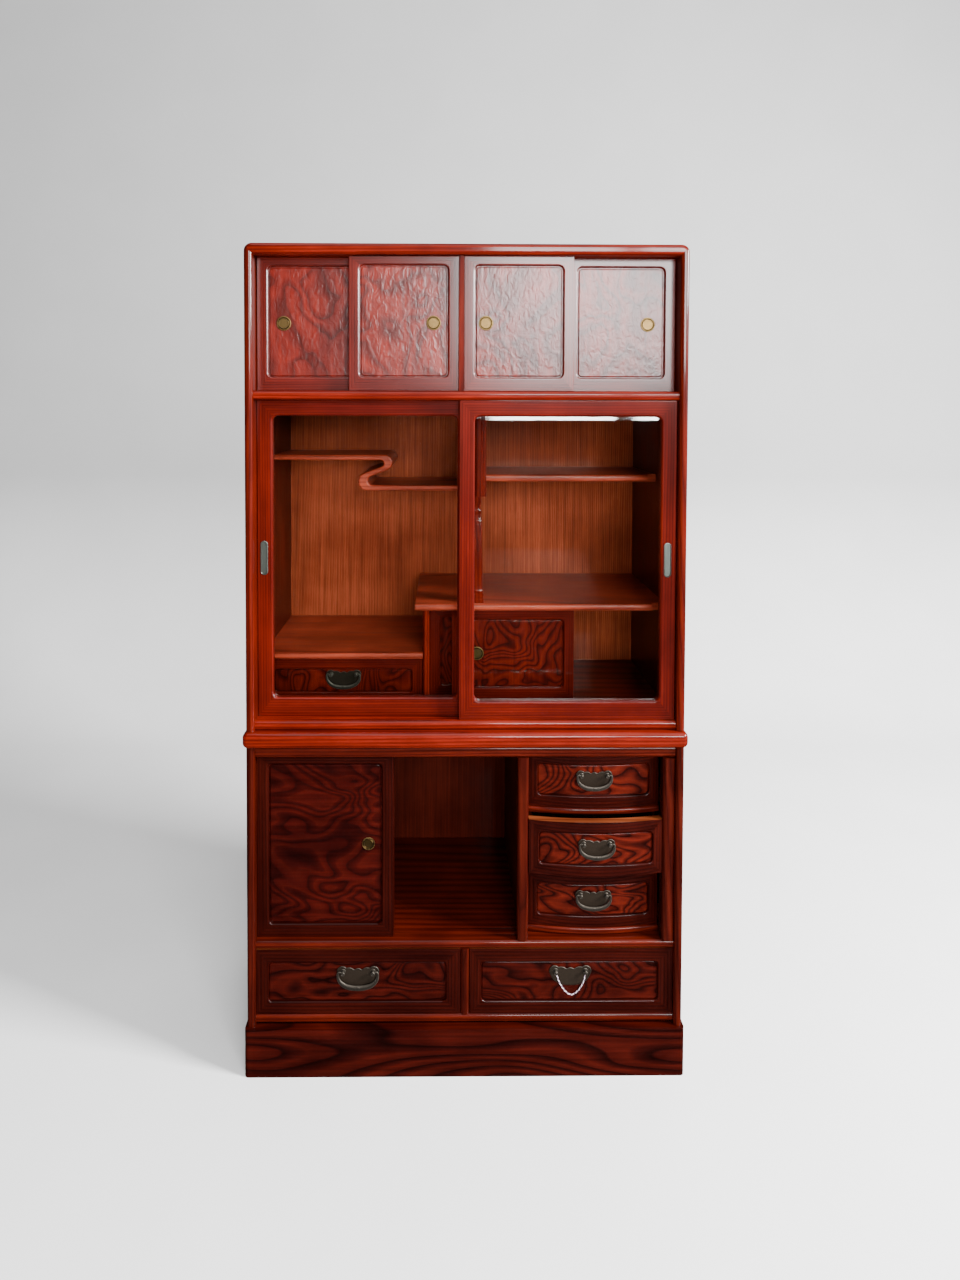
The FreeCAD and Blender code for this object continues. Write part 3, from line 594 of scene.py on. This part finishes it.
curvedPost = dict(middleX=25.0, round=2.5,  # rows are height, half width, front, back
                  rows=[(959, 15.5, 98, 149), (967, 15.5, 98, 149), (969, 13.5, 100, 147),
                        (973, 15.0, 98.5, 148.5), (978, 15.0, 98.5, 148.5), (980, 13.2, 101, 146),
                        (985, 14.2, 99.5, 148), (989, 13.4, 101, 146), (1002, 13.0, 101.5, 143.5),
                        (1030, 12.8, 102, 141), (1060, 12.2, 103, 141.5), (1090, 11.6, 105.5, 144),
                        (1110, 11.8, 108.5, 147), (1126, 11.9, 110, 148), (1140, 11.0, 112, 147.5),
                        (1150, 9.8, 113.5, 147), (1153, 10.4, 112.5, 147.5), (1158, 10.4, 112.5, 147.5),
                        (1161, 8.8, 114, 146.5), (1170, 8.6, 114, 146.5), (1174, 10.3, 112.5, 147.5),
                        (1188, 10.3, 112.5, 147.5)])


def makeCurvedPost():
    rows, x = curvedPost["rows"], curvedPost["middleX"]
    z, half, front, back = rows[0]
    piece = block("curved_post.turned", (x - half, x + half), (front, back), (z, rows[1][0]))
    for (lowZ, lowHalf, lowFront, shadedLowBack), (z, half, front, back) in zip(rows[1:], rows[2:]):
        pick(piece, "FACE", lambda f: f.normal.z > 0.9 and abs(middle(f).z - lowZ) < 0.1)
        bpy.ops.mesh.extrude_region_move(TRANSFORM_OT_translate={"value": (0, 0, (z - lowZ) / 1000)})
        bpy.ops.transform.translate(value=(0, (front + back - lowFront - shadedLowBack) / 2000, 0))
        bpy.ops.transform.resize(value=(half / lowHalf, (back - front) / (shadedLowBack - lowFront), 1),
                                 center_override=spot(x, (front + back) / 2, z))
        done()
    soften(piece, curvedPost["round"], 3, lambda e: abs(e.verts[0].co.z - e.verts[1].co.z) > 0.001)
    paint(piece, wood["shelfUpright"])
    smooth(piece, 28)
    place(piece, "carcass", "shelf_wood", "curved_post")


makeStaggeredShelf()
makeHangingBoard()
makeCurvedPost()
print("tea cabinet: inner shelves")


# thick is the flange's, and steps are (inset, rise) from its edge to the middle of the dish, all in mm
roundPull = dict(radius=15.0, thick=0.95, sides=40, beads=26, bead=0.85, beadsIn=1.6, beadsOut=0.9,
                 dish=9.0,
                 steps=[(0.5, 0.25), (2.1, 0.0), (0.5, -0.5), (0.7, 0.0), (0.5, 0.55), (0.7, 0.0),
                        (0.4, -1.0), (0.5, -4.6), (1.2, -0.9)])
longPull = dict(radius=7.5, thick=0.9, sides=24, straight=56.0,
                steps=[(0.45, 0.3), (0.7, 0.0), (0.45, -0.6), (0.4, -0.6), (0.35, -5.2), (1.0, -0.9)])


def disc(name, x, y, z, radius, sides):  # an upright disc that faces forward
    bpy.ops.object.select_all(action="DESELECT")
    bpy.ops.mesh.primitive_circle_add(vertices=sides, radius=radius / 1000, fill_type="NGON",
                                      location=spot(x, y, z), rotation=(math.pi / 2, math.pi / sides, 0))
    piece = bpy.context.object
    piece.name = name
    settle(piece)
    return piece


def stepIn(piece, steps):  # from the forward face, inset and raised or sunk step by step
    for inset, rise in steps:
        bpy.ops.mesh.inset(thickness=inset / 1000, depth=rise / 1000)


def raisedDisc(piece, thick, steps):
    editAll(piece)
    bpy.ops.mesh.select_mode(type="FACE")
    bpy.ops.mesh.extrude_region_move(TRANSFORM_OT_translate={"value": (0, -thick / 1000, 0)})
    stepIn(piece, steps)
    done()


def bead(x, y, z, radius, segments=8, rings=6, scale=(1, 1, 1)):
    bpy.ops.object.select_all(action="DESELECT")
    bpy.ops.mesh.primitive_uv_sphere_add(segments=segments, ring_count=rings, radius=radius / 1000,
                                         location=spot(x, y, z))
    piece = bpy.context.object
    piece.scale = scale
    settle(piece)
    return piece


def makeRoundPull():  # the master, at the cabinet's front plane
    piece = disc("roundPull", 0, 0, 0, roundPull["radius"], roundPull["sides"])
    raisedDisc(piece, roundPull["thick"], roundPull["steps"])
    paint(piece, metal["brass"], metal["dish"])
    fixNormals(piece)
    for face in piece.data.polygons:  # the floor of the dish is rubbed bright
        away = math.hypot(face.center.x, face.center.z) * 1000
        if away < roundPull["dish"] and face.normal.y < -0.5:
            face.material_index = 1
    beads = []
    reach = roundPull["radius"] - roundPull["beadsIn"]
    for i in range(roundPull["beads"]):
        turn = 2 * math.pi * i / roundPull["beads"]
        beads.append(bead(reach * math.cos(turn), -roundPull["beadsOut"], reach * math.sin(turn),
                          roundPull["bead"]))
        paint(beads[-1], metal["brass"])
    piece = joined("roundPull", [piece] + beads)
    smooth(piece, 40)
    return piece


def makeLongPull():
    piece = disc("longPull", 0, 0, 0, longPull["radius"], longPull["sides"])
    for way in (1, -1):
        pick(piece, "VERT", lambda v: v.co.z * way > 0)
        bpy.ops.transform.translate(value=(0, 0, way * longPull["straight"] / 2000))
        done()
    raisedDisc(piece, longPull["thick"], longPull["steps"])
    paint(piece, metal["bronze"], metal["plateIron"])
    fixNormals(piece)
    rim = min(v.co.y for v in piece.data.vertices) * 1000
    for face in piece.data.polygons:  # the cup's floor and walls are never rubbed
        if face.center.y * 1000 > rim + 2 and face.normal.y < 0.1:
            face.material_index = 1
    smooth(piece, 40)
    return piece


roundMaster, longMaster = makeRoundPull(), makeLongPull()


mortise = dict(proud=1.2, round=0.82, half=(6.2, 34), corner=6.1, through=2)


def fitPull(door, slot):  # the pull of a door, and the cutter for its mortise
    x, y, z = nodeBox(door + "_pull")
    midX, midZ, half = sum(x) / 2, sum(z) / 2, (x[1] - x[0]) / 2
    isLong = z[1] - z[0] > 3 * half
    master = longMaster if isLong else roundMaster
    size = 1.0 if isLong else half / roundPull["radius"]
    pull = shifted(master, door + "_pull.cup", (midX, y[0] + mortise["proud"], midZ), size)
    place(pull, door, slot, door + "_pull")
    if isLong:
        wide, high = mortise["half"]
        cutter = block("mortise", (midX - wide, midX + wide), (y[0], y[1] + mortise["through"]),
                       (midZ - high, midZ + high))
        soften(cutter, mortise["corner"], 6, lambda e: along(e, 1))
    else:
        bpy.ops.object.select_all(action="DESELECT")
        bpy.ops.mesh.primitive_cylinder_add(vertices=32, radius=half * mortise["round"] / 1000, depth=0.04,
                                            location=spot(midX, y[0] + 10, midZ),
                                            rotation=(math.pi / 2, 0, 0))
        cutter = bpy.context.object
        settle(cutter)
    return cutter


def frameRing(name, x, y, z, border, corner, lip):
    # A mitred frame round a rounded opening, with an ovolo lip; border is left, right, bottom, top
    outerEdge, through = 1.0, 5
    piece = block(name, x, y, z)
    holeX, holeZ = (x[0] + border[0], x[1] - border[1]), (z[0] + border[2], z[1] - border[3])
    hole = block("opening", holeX, (y[0] - through, y[1] + through), holeZ)
    soften(hole, corner, 6, lambda e: along(e, 1))
    carve(piece, hole)

    def inHole(v):
        px, pz = v.co.x * 1000, v.co.z * 1000
        return holeX[0] - 0.1 < px < holeX[1] + 0.1 and holeZ[0] - 0.1 < pz < holeZ[1] + 0.1

    soften(piece, lip, 4, lambda e: atY(e, y[0]) and all(inHole(v) for v in e.verts))
    soften(piece, outerEdge, 2, lambda e: atY(e, y[0]) and not any(inHole(v) for v in e.verts)
           and (along(e, 0) or along(e, 2)))
    for a in (0, 1):  # a cut from each outer corner to the opening's
        for b in (0, 1):
            outwardX, outwardZ = (-1, 1)[a], (-1, 1)[b]
            mitre = Vector((-outwardZ * border[2 + b], 0, outwardX * border[a])).normalized()
            pick(piece, "FACE", lambda f: True)
            bpy.ops.mesh.bisect(plane_co=spot(x[a], y[0], z[b]), plane_no=mitre)
            done()
    for face in piece.data.polygons:  # stiles run up, rails run across
        px, pz = face.center.x * 1000, face.center.z * 1000
        fromSide = min((px - x[0]) / border[0], (x[1] - px) / border[1])
        fromRail = min((pz - z[0]) / border[2], (z[1] - pz) / border[3])
        face.material_index = int(fromRail < fromSide)
    return piece, holeX, holeZ


def raisedPanel(name, x, y, z, tuck, gap, corner, raised):
    # A panel tucked into the frame, with its field raised and rounded; y is its face and its back
    piece = block(name, (x[0] - tuck, x[1] + tuck), (y[0] + raised, y[1]), (z[0] - tuck, z[1] + tuck))
    pick(piece, "FACE", lambda f: f.normal.y < -0.9)
    bpy.ops.mesh.inset(thickness=(tuck + gap) / 1000)
    bpy.ops.mesh.extrude_region_move(TRANSFORM_OT_translate={"value": (0, -raised / 1000, 0)})
    done()
    soften(piece, corner, 5, lambda e: along(e, 1) and middle(e).y < y[0] + raised - 0.1)
    soften(piece, raised * 0.95, 4, lambda e: atY(e, y[0]))
    return piece


doorLooks = {  # all in mm, bottom and top without what runs in the grooves
    # the top doors take the lighter burl, painted light; the niche doors the darkest burl and the low frame
    # copies, painted shade
    "top": dict(nodes=["top_door_far_left", "top_door_inner_left", "top_door_inner_right",
                       "top_door_far_right"], stile=22, bottom=27.5, top=18.5, recess=4, panel=9, corner=10,
                burl="rippledLitBurl", frame=("topFrameUpright", "topFrameAcross")),
    "small": dict(nodes=["small_door_front", "small_door_rear"], stile=23, bottom=34, top=23,
                  recess=3.5, panel=8.5, corner=9, burl="burl", frame=("frameUpright", "frameAcross")),
    "niche": dict(nodes=["niche_door_front", "niche_door_rear"], stile=24, bottom=27.5, top=17.5, recess=4,
                  panel=9, corner=10, burl="shadedDoorBurl", frame=("shadedLowUpright", "shadedLowAcross")),
}
lowerTongue, upperTongue = 2.3, 5.0
doorPanel = dict(lip=3.2, tuck=5, gap=2.4, corner=2, raised=2.6)


def leafZ(node):
    z = nodeBox(node)[2]
    return z[0] + lowerTongue, z[1] - upperTongue


def makeDoor(node, door):
    x, y, _ = nodeBox(node)
    z = leafZ(node)
    border = (door["stile"], door["stile"], door["bottom"], door["top"])
    ring, holeX, holeZ = frameRing(node + ".frame", x, y, z, border, door["corner"], doorPanel["lip"])
    paint(ring, *(wood[look] for look in door["frame"]))
    smooth(ring)
    place(ring, node, "door_wood", node)
    face = y[0] + door["recess"]
    panel = raisedPanel(node + ".panel", holeX, (face, face + door["panel"]), holeZ, doorPanel["tuck"],
                        doorPanel["gap"], door["corner"] - doorPanel["corner"], doorPanel["raised"])
    carve(panel, fitPull(node, "pull_brass"))
    paint(panel, wood[door["burl"]])
    smooth(panel)
    place(panel, node, "door_wood")


for kind in doorLooks.values():
    for node in kind["nodes"]:
        makeDoor(node, kind)
print("tea cabinet: wooden doors")

glassDoor = dict(stile=31, bottom=38, top=32.5, corner=12, lip=4.0, recess=7.0, paneThick=4.0, tuck=5,
                 ground=8.0, slope=1.0)


def makeGlassDoor(node):
    x, y, _ = nodeBox(node + "_frame")
    z = leafZ(node + "_frame")
    border = (glassDoor["stile"], glassDoor["stile"], glassDoor["bottom"], glassDoor["top"])
    ring, holeX, holeZ = frameRing(node + ".frame", x, y, z, border, glassDoor["corner"], glassDoor["lip"])
    carve(ring, fitPull(node, "pull_metal"))
    paint(ring, wood["frameUpright"], wood["frameAcross"])
    smooth(ring)
    place(ring, node, "door_wood", node + "_frame")
    front, tuck = y[0] + glassDoor["recess"], glassDoor["tuck"]
    pane = block(node + ".pane", (holeX[0] - tuck, holeX[1] + tuck),
                 (front + glassDoor["slope"], front + glassDoor["paneThick"]),
                 (holeZ[0] - tuck, holeZ[1] + tuck))
    pick(pane, "FACE", lambda f: f.normal.y < -0.9)
    bpy.ops.mesh.inset(thickness=tuck / 1000)
    bpy.ops.mesh.inset(thickness=glassDoor["ground"] / 1000, depth=glassDoor["slope"] / 1000)
    done()
    for face in pane.data.polygons:  # the ground slope round the pane
        face.material_index = int(-0.9999 < face.normal.y < -0.9)
    paint(pane, *paneGlass)
    place(pane, node, "glass", node + "_glass")


makeGlassDoor("left_glass_door")
makeGlassDoor("right_glass_door")
print("tea cabinet: glass doors")


drawerBox = dict(side=10, play=2, floor=(4, 9), drop=12, front=18, edge=1.5)


def makeDrawerBox(node, x, front, back, z):
    top, side = z[1] - drawerBox["drop"], drawerBox["side"]
    left, right = x[0] + drawerBox["play"], x[1] - drawerBox["play"]
    low, high = (z[0] + height for height in drawerBox["floor"])
    boards = [block("side", (left, left + side), (front, back), (z[0], top)),
              block("side", (right - side, right), (front, back), (z[0], top)),
              block("back", (left + side, right - side), (back - side, back), (z[0], top)),
              block("floor", (left + side, right - side), (front, back - side), (low, high))]
    for board in boards[:3]:
        soften(board, drawerBox["edge"], 2, lambda e: abs(middle(e).z - top) < 0.1)
    box = joined(node + ".box", boards)
    paint(box, wood["inner"])
    smooth(box)
    place(box, node, "drawer_wood")


def bend(piece, midX, half, sag, slices=18):  # bows a front: its ends go back by the sagitta
    for i in range(1, slices):
        pick(piece, "FACE", lambda f: True)
        bpy.ops.mesh.bisect(plane_co=spot(midX - half + 2 * half * i / slices, 0, 0), plane_no=(1, 0, 0))
        done()
    radius = (half * half + sag * sag) / (2 * sag)
    for v in piece.data.vertices:
        off = v.co.x * 1000 - midX
        v.co.y += (radius - math.sqrt(max(radius * radius - off * off, 0))) / 1000


drawerPanel = dict(frameCorner=9, lip=2.8, recess=3.5, back=1, tuck=4, gap=1.5, corner=7.5, raised=2.2)


def makeFront(node, x, face, z, panelX, panelZ, sag=0):
    thick = drawerBox["front"]
    border = (panelX[0] - x[0], x[1] - panelX[1], panelZ[0] - z[0], z[1] - panelZ[1])
    ring, holeX, holeZ = frameRing(node + ".front", x, (face, face + thick), z, border,
                                   drawerPanel["frameCorner"], drawerPanel["lip"])
    panel = raisedPanel(node + ".panel", holeX,
                        (face + drawerPanel["recess"], face + thick - drawerPanel["back"]), holeZ,
                        *(drawerPanel[size] for size in ("tuck", "gap", "corner", "raised")))
    if sag:
        for piece in (ring, panel):
            bend(piece, sum(x) / 2, (x[1] - x[0]) / 2, sag)
    display = node == "display_drawer"
    for side in ring.data.polygons:
        if side.normal.z > 0.9 and side.center.z * 1000 > z[1] - 0.2:
            side.material_index = 2  # the front's top edge is left raw
    # painted shade: all fronts but the display drawer take the darker low frame copies and darker burls
    looks = ("frameUpright", "frameAcross") if display else ("shadedLowUpright", "shadedLowAcross")
    paint(ring, *(wood[look] for look in looks), wood["rawEdge"])
    paint(panel, wood["burl" if display else "shadedBowBurl" if sag else "shadedLowBurl"])
    for piece in (ring, panel):
        smooth(piece)
    place(ring, node, "drawer_wood", node)
    place(panel, node, "drawer_wood")


flatDrawers = {
    "left_wide_drawer": dict(panelX=(-408, -39), panelZ=(147, 229.5)),
    "right_wide_drawer": dict(panelX=(34, 402), panelZ=(147, 229.5)),
    "display_drawer": dict(panelX=(-414, -115), panelZ=(762, 813)),
}
bowDrawer = dict(nodes=["bow_drawer_" + level for level in ("bottom", "middle", "top")], sag=14,
                 panel=(235, 66))

for node, drawer in flatDrawers.items():
    x, y, z = nodeBox(node)
    makeFront(node, x, y[0], z, drawer["panelX"], drawer["panelZ"])
    makeDrawerBox(node, x, y[0] + drawerBox["front"], y[1], z)
for node in bowDrawer["nodes"]:
    x, y, z = nodeBox(node)
    midX, midZ, (wide, high) = sum(x) / 2, sum(z) / 2, bowDrawer["panel"]
    makeFront(node, x, y[0], z, (midX - wide / 2, midX + wide / 2), (midZ - high / 2, midZ + high / 2),
              bowDrawer["sag"])
    makeDrawerBox(node, x, y[0] + drawerBox["front"] + bowDrawer["sag"], y[1], z)
print("tea cabinet: drawers")


# half outlines of the plate from the top middle round to the bottom middle; True marks a sharp cusp
handlePlate = dict(thick=2.0, rim=0.9, rimSize=0.965, width=89.0, drop=31,
                   outline=[(0, 6.2, False), (8, 3.2, True), (17, 7.6, False), (26, 7.2, True),
                            (32.5, 10.4, False), (40, 8.2, False), (44, 0.5, False), (41, -9, False),
                            (35, -19.5, False), (24, -27, True), (12, -30.4, False), (0, -31, False)])
# the post's parts are name, radius, sides, how far off the plate, thickness and steps
handlePost = dict(x=31.0, parts=[
    ("post", 3.2, 20, 0, 7.3, [(0.4, 0.2)]),
    ("cap", 4.0, 24, 7.1, 1.6, [(0.5, 0.5), (0.8, 0.1), (0.4, -0.5), (0.4, 0.0), (0.4, 0.6), (0.8, 0.2)]),
    ("collar", 5.4, 24, 0, 0.7, [(0.5, 0.4), (0.6, 0.0)])])
handleBail = dict(wide=5.0, deep=2.5, off=6.5,  # rows are x, z, size of the section
                  rows=[(33.0, 1.2, 0.36), (39.5, 1.8, 0.46), (41.0, -6, 0.55), (38.4, -15, 0.72),
                        (30.5, -23.5, 0.92), (17, -29, 1.02), (0, -30.8, 1.06)],
                  beads=15, bead=1.5, beadArc=(40.5, 34.92), beadTurn=128, beadUp=0.6, beadOut=0.6,
                  boss=4.0, bossAt=(0, -1.6, -30), bossScale=(1.5, 0.35, 0.9))


def curvePiece(name, points, closed, dimensions, resolution):  # points are x, z, sharp, size
    curve = bpy.data.curves.new(name, "CURVE")
    curve.dimensions, curve.resolution_u = dimensions, resolution
    spline = curve.splines.new("BEZIER")
    spline.bezier_points.add(len(points) - 1)
    for point, (a, b, sharp, size) in zip(spline.bezier_points, points):
        point.co = (a / 1000, b / 1000, 0)
        point.radius = size
        point.handle_left_type = point.handle_right_type = "VECTOR" if sharp else "AUTO"
    spline.use_cyclic_u = closed
    return newPiece(name, curve)


def stand(piece, y):  # a curve drawn lying down is stood up
    piece.rotation_euler = (math.pi / 2, 0, 0)
    piece.location = spot(0, y, 0)


def plateOutline(name, size, depth, y):
    half = [(a * size, b * size, sharp, 1) for a, b, sharp in handlePlate["outline"]]
    points = half + [(-a, b, sharp, 1) for a, b, sharp, _ in reversed(half[1:-1])]
    piece = curvePiece(name, points, True, "2D", 5)
    piece.data.fill_mode = "BOTH"
    piece.data.extrude = depth / 2000
    stand(piece, y)
    return piece


def toMesh(piece):
    focus(piece)
    bpy.ops.object.convert(target="MESH")
    settle(piece)
    editAll(piece)
    bpy.ops.mesh.remove_doubles(threshold=0.00002)
    bpy.ops.mesh.normals_make_consistent(inside=False)
    done()
    return piece


def makePlate():  # the master, its back at the front plane and its pivot at the origin
    thick = handlePlate["thick"]
    plate = toMesh(plateOutline("handlePlate", 1, thick - 0.5, -thick / 2 + 0.25))
    rim = plateOutline("rim", handlePlate["rimSize"], 0.02, -thick + 0.5)
    rim.data.dimensions = "3D"
    rim.data.bevel_depth = handlePlate["rim"] / 1000
    rim.data.bevel_resolution = 2
    parts = [plate, toMesh(rim)]
    front = -thick + 0.4
    for side in (-1, 1):
        for name, radius, sides, off, deep, steps in handlePost["parts"]:
            part = disc(name, side * handlePost["x"], front - off, 0, radius, sides)
            raisedDisc(part, deep, steps)
            fixNormals(part)
            parts.append(part)
    for part in parts:
        paint(part, metal["plateIron" if part == plate else "castIron"])
    piece = joined("handlePlate", parts)
    smooth(piece, 35)
    return piece


def makeBail():
    half = [(a, b, False, size) for a, b, size in handleBail["rows"]]
    points = half + [(-a, b, sharp, size) for a, b, sharp, size in reversed(half[:-1])]
    wide, deep = handleBail["wide"], handleBail["deep"]
    corners = [(a, b, False, 1) for a, b in ((wide, 0), (0, deep), (-wide, 0), (0, -deep))]
    section = curvePiece("bailSection", corners, True, "2D", 3)
    piece = curvePiece("bail", points, False, "3D", 6)
    path = piece.data
    path.twist_mode = "Z_UP"
    path.bevel_mode, path.bevel_object, path.use_fill_caps = "OBJECT", section, True
    stand(piece, 0)
    parts = [toMesh(piece)]
    bpy.data.objects.remove(section)
    for i in range(handleBail["beads"]):  # beads along the lower edge
        turn = math.radians(-90 + handleBail["beadTurn"] * (i / (handleBail["beads"] - 1) - 0.5))
        x, z = handleBail["beadArc"][0] * math.cos(turn), handleBail["beadArc"][1] * math.sin(turn)
        parts.append(bead(x, -handleBail["beadOut"], z + handleBail["beadUp"], handleBail["bead"]))
    parts.append(bead(*handleBail["bossAt"], handleBail["boss"], 16, 10, handleBail["bossScale"]))
    piece = joined("bail", parts)
    paint(piece, metal["castIron"])
    smooth(piece, 40)
    return piece


plateMaster, bailMaster = makePlate(), makeBail()

for node in list(flatDrawers) + bowDrawer["nodes"]:
    plateX, plateY, plateZ = nodeBox(node + "_plate")
    size = (plateX[1] - plateX[0]) / handlePlate["width"]
    pivot = (sum(plateX) / 2, plateY[1], plateZ[0] + handlePlate["drop"] * size)
    plate = shifted(plateMaster, node + "_plate.cast", pivot, size)
    back = spot(0, pivot[1], 0).y
    for v in plate.data.vertices:  # its depth stays at full size
        v.co.y = (v.co.y - back) / size + back
    place(plate, node, "handle_iron", node + "_plate")
    bailNode = node + "_bail"
    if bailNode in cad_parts:
        plane = plateY[1] - handlePlate["thick"] - handleBail["off"]
        bail = shifted(bailMaster, bailNode + ".cast", (pivot[0], plane, pivot[2]), size)
        place(bail, bailNode, "handle_iron", bailNode)

for master in (roundMaster, longMaster, plateMaster, bailMaster):
    bpy.data.objects.remove(master)
print("tea cabinet: handles")


# painted shade: the paper is one tone, drawn darker from the floor up the wall as the light falls off
studio = dict(front=-3.4, back=2.6, half=7.0, height=5.0, bend=1.2, tone="#e6e6e6", wall="#a8a8a8")


def makeBackdrop():
    bpy.ops.object.select_all(action="DESELECT")
    bpy.ops.mesh.primitive_plane_add(size=1, location=(0, (studio["front"] + studio["back"]) / 2, 0))
    floor = bpy.context.object
    floor.name = "paperSweep"
    floor.scale = (2 * studio["half"], studio["back"] - studio["front"], 1)
    settle(floor)
    pick(floor, "EDGE", lambda e: all(v.co.y > studio["back"] - 0.01 for v in e.verts))
    bpy.ops.mesh.extrude_region_move(TRANSFORM_OT_translate={"value": (0, 0, studio["height"])})
    done()
    pick(floor, "EDGE", lambda e: all(v.co.y > studio["back"] - 0.01 and v.co.z < 0.01 for v in e.verts))
    bpy.ops.mesh.bevel(offset=studio["bend"], segments=24, affect="EDGES")
    done()
    smooth(floor, 60)
    material, tree, shader = newMaterial("mattPaperSweep")  # matt paper with a faint fibre mottle
    coords = addNode(tree, "ShaderNodeTexCoord").outputs["Object"]
    fibre = addNode(tree, "ShaderNodeTexNoise", {"Scale": 3.0, "Detail": 6.0},
                    {"Vector": coords}).outputs["Fac"]
    height = addNode(tree, "ShaderNodeSeparateXYZ", links={0: coords}).outputs["Z"]
    # painted shade: paler on the floor, darker up the wall
    tone = ramp(tree, height, (0.0, studio["tone"]), (1.0, studio["wall"]))  # paler where it lies flat
    mottle = ramp(tree, fibre, (0.3, "#fafafa"), (0.7, "#ffffff"))
    tone = addNode(tree, "ShaderNodeMix", {0: 1.0}, {6: tone, 7: mottle}, data_type="RGBA",
                   blend_type="MULTIPLY").outputs[2]
    wire(tree, shader, {"Roughness": 0.9}, {"Base Color": tone})
    paint(floor, material)
    floor.visible_glossy = False


lights = [  # place, what it looks at, size across and up, power in watts, and whether gloss mirrors it
    dict(name="windowLeft", at=(0.75, -4.3, 2.3), look=(0.1, -0.2, 1.35), size=(0.9, 1.3), power=150,
         shown=True),
    dict(name="windowRight", at=(1.85, -4.3, 2.3), look=(0.1, -0.2, 1.35), size=(0.95, 1.3), power=165,
         shown=True),
    dict(name="frontFill", at=(-0.3, -3.6, 1.2), look=(0, 0, 1.2), size=(1.6, 1.0), power=100, shown=False),
    dict(name="ceiling", at=(0.3, -1.6, 4.2), look=(0, 0.2, 0.6), size=(3.2, 2.4), power=80, shown=True),
    dict(name="rightKey", at=(3.6, -1.5, 2.5), look=(0, 0.2, 0.2), size=(1.1, 1.1), power=950, shown=True),
]


def makeLights():
    for light in lights:
        bpy.ops.object.light_add(type="AREA", location=light["at"])
        lamp = bpy.context.object
        lamp.name = light["name"]
        lamp.data.shape = "RECTANGLE"
        lamp.data.size, lamp.data.size_y = light["size"]
        lamp.data.energy = light["power"]
        lamp.visible_glossy = light["shown"]
        way = Vector(light["look"]) - Vector(light["at"])
        lamp.rotation_euler = way.to_track_quat("-Z", "Y").to_euler()
    world = bpy.data.worlds.new("softRoom")
    bpy.context.scene.world = world
    world.use_nodes = True
    wire(world.node_tree, world.node_tree.nodes["Background"],
         {"Color": linear("#f2f2f4"), "Strength": 0.25})
    world.cycles_visibility.glossy = False  # the lacquer mirrors the lamps, as in a dim room


makeBackdrop()
makeLights()
print("tea cabinet: backdrop and lights")
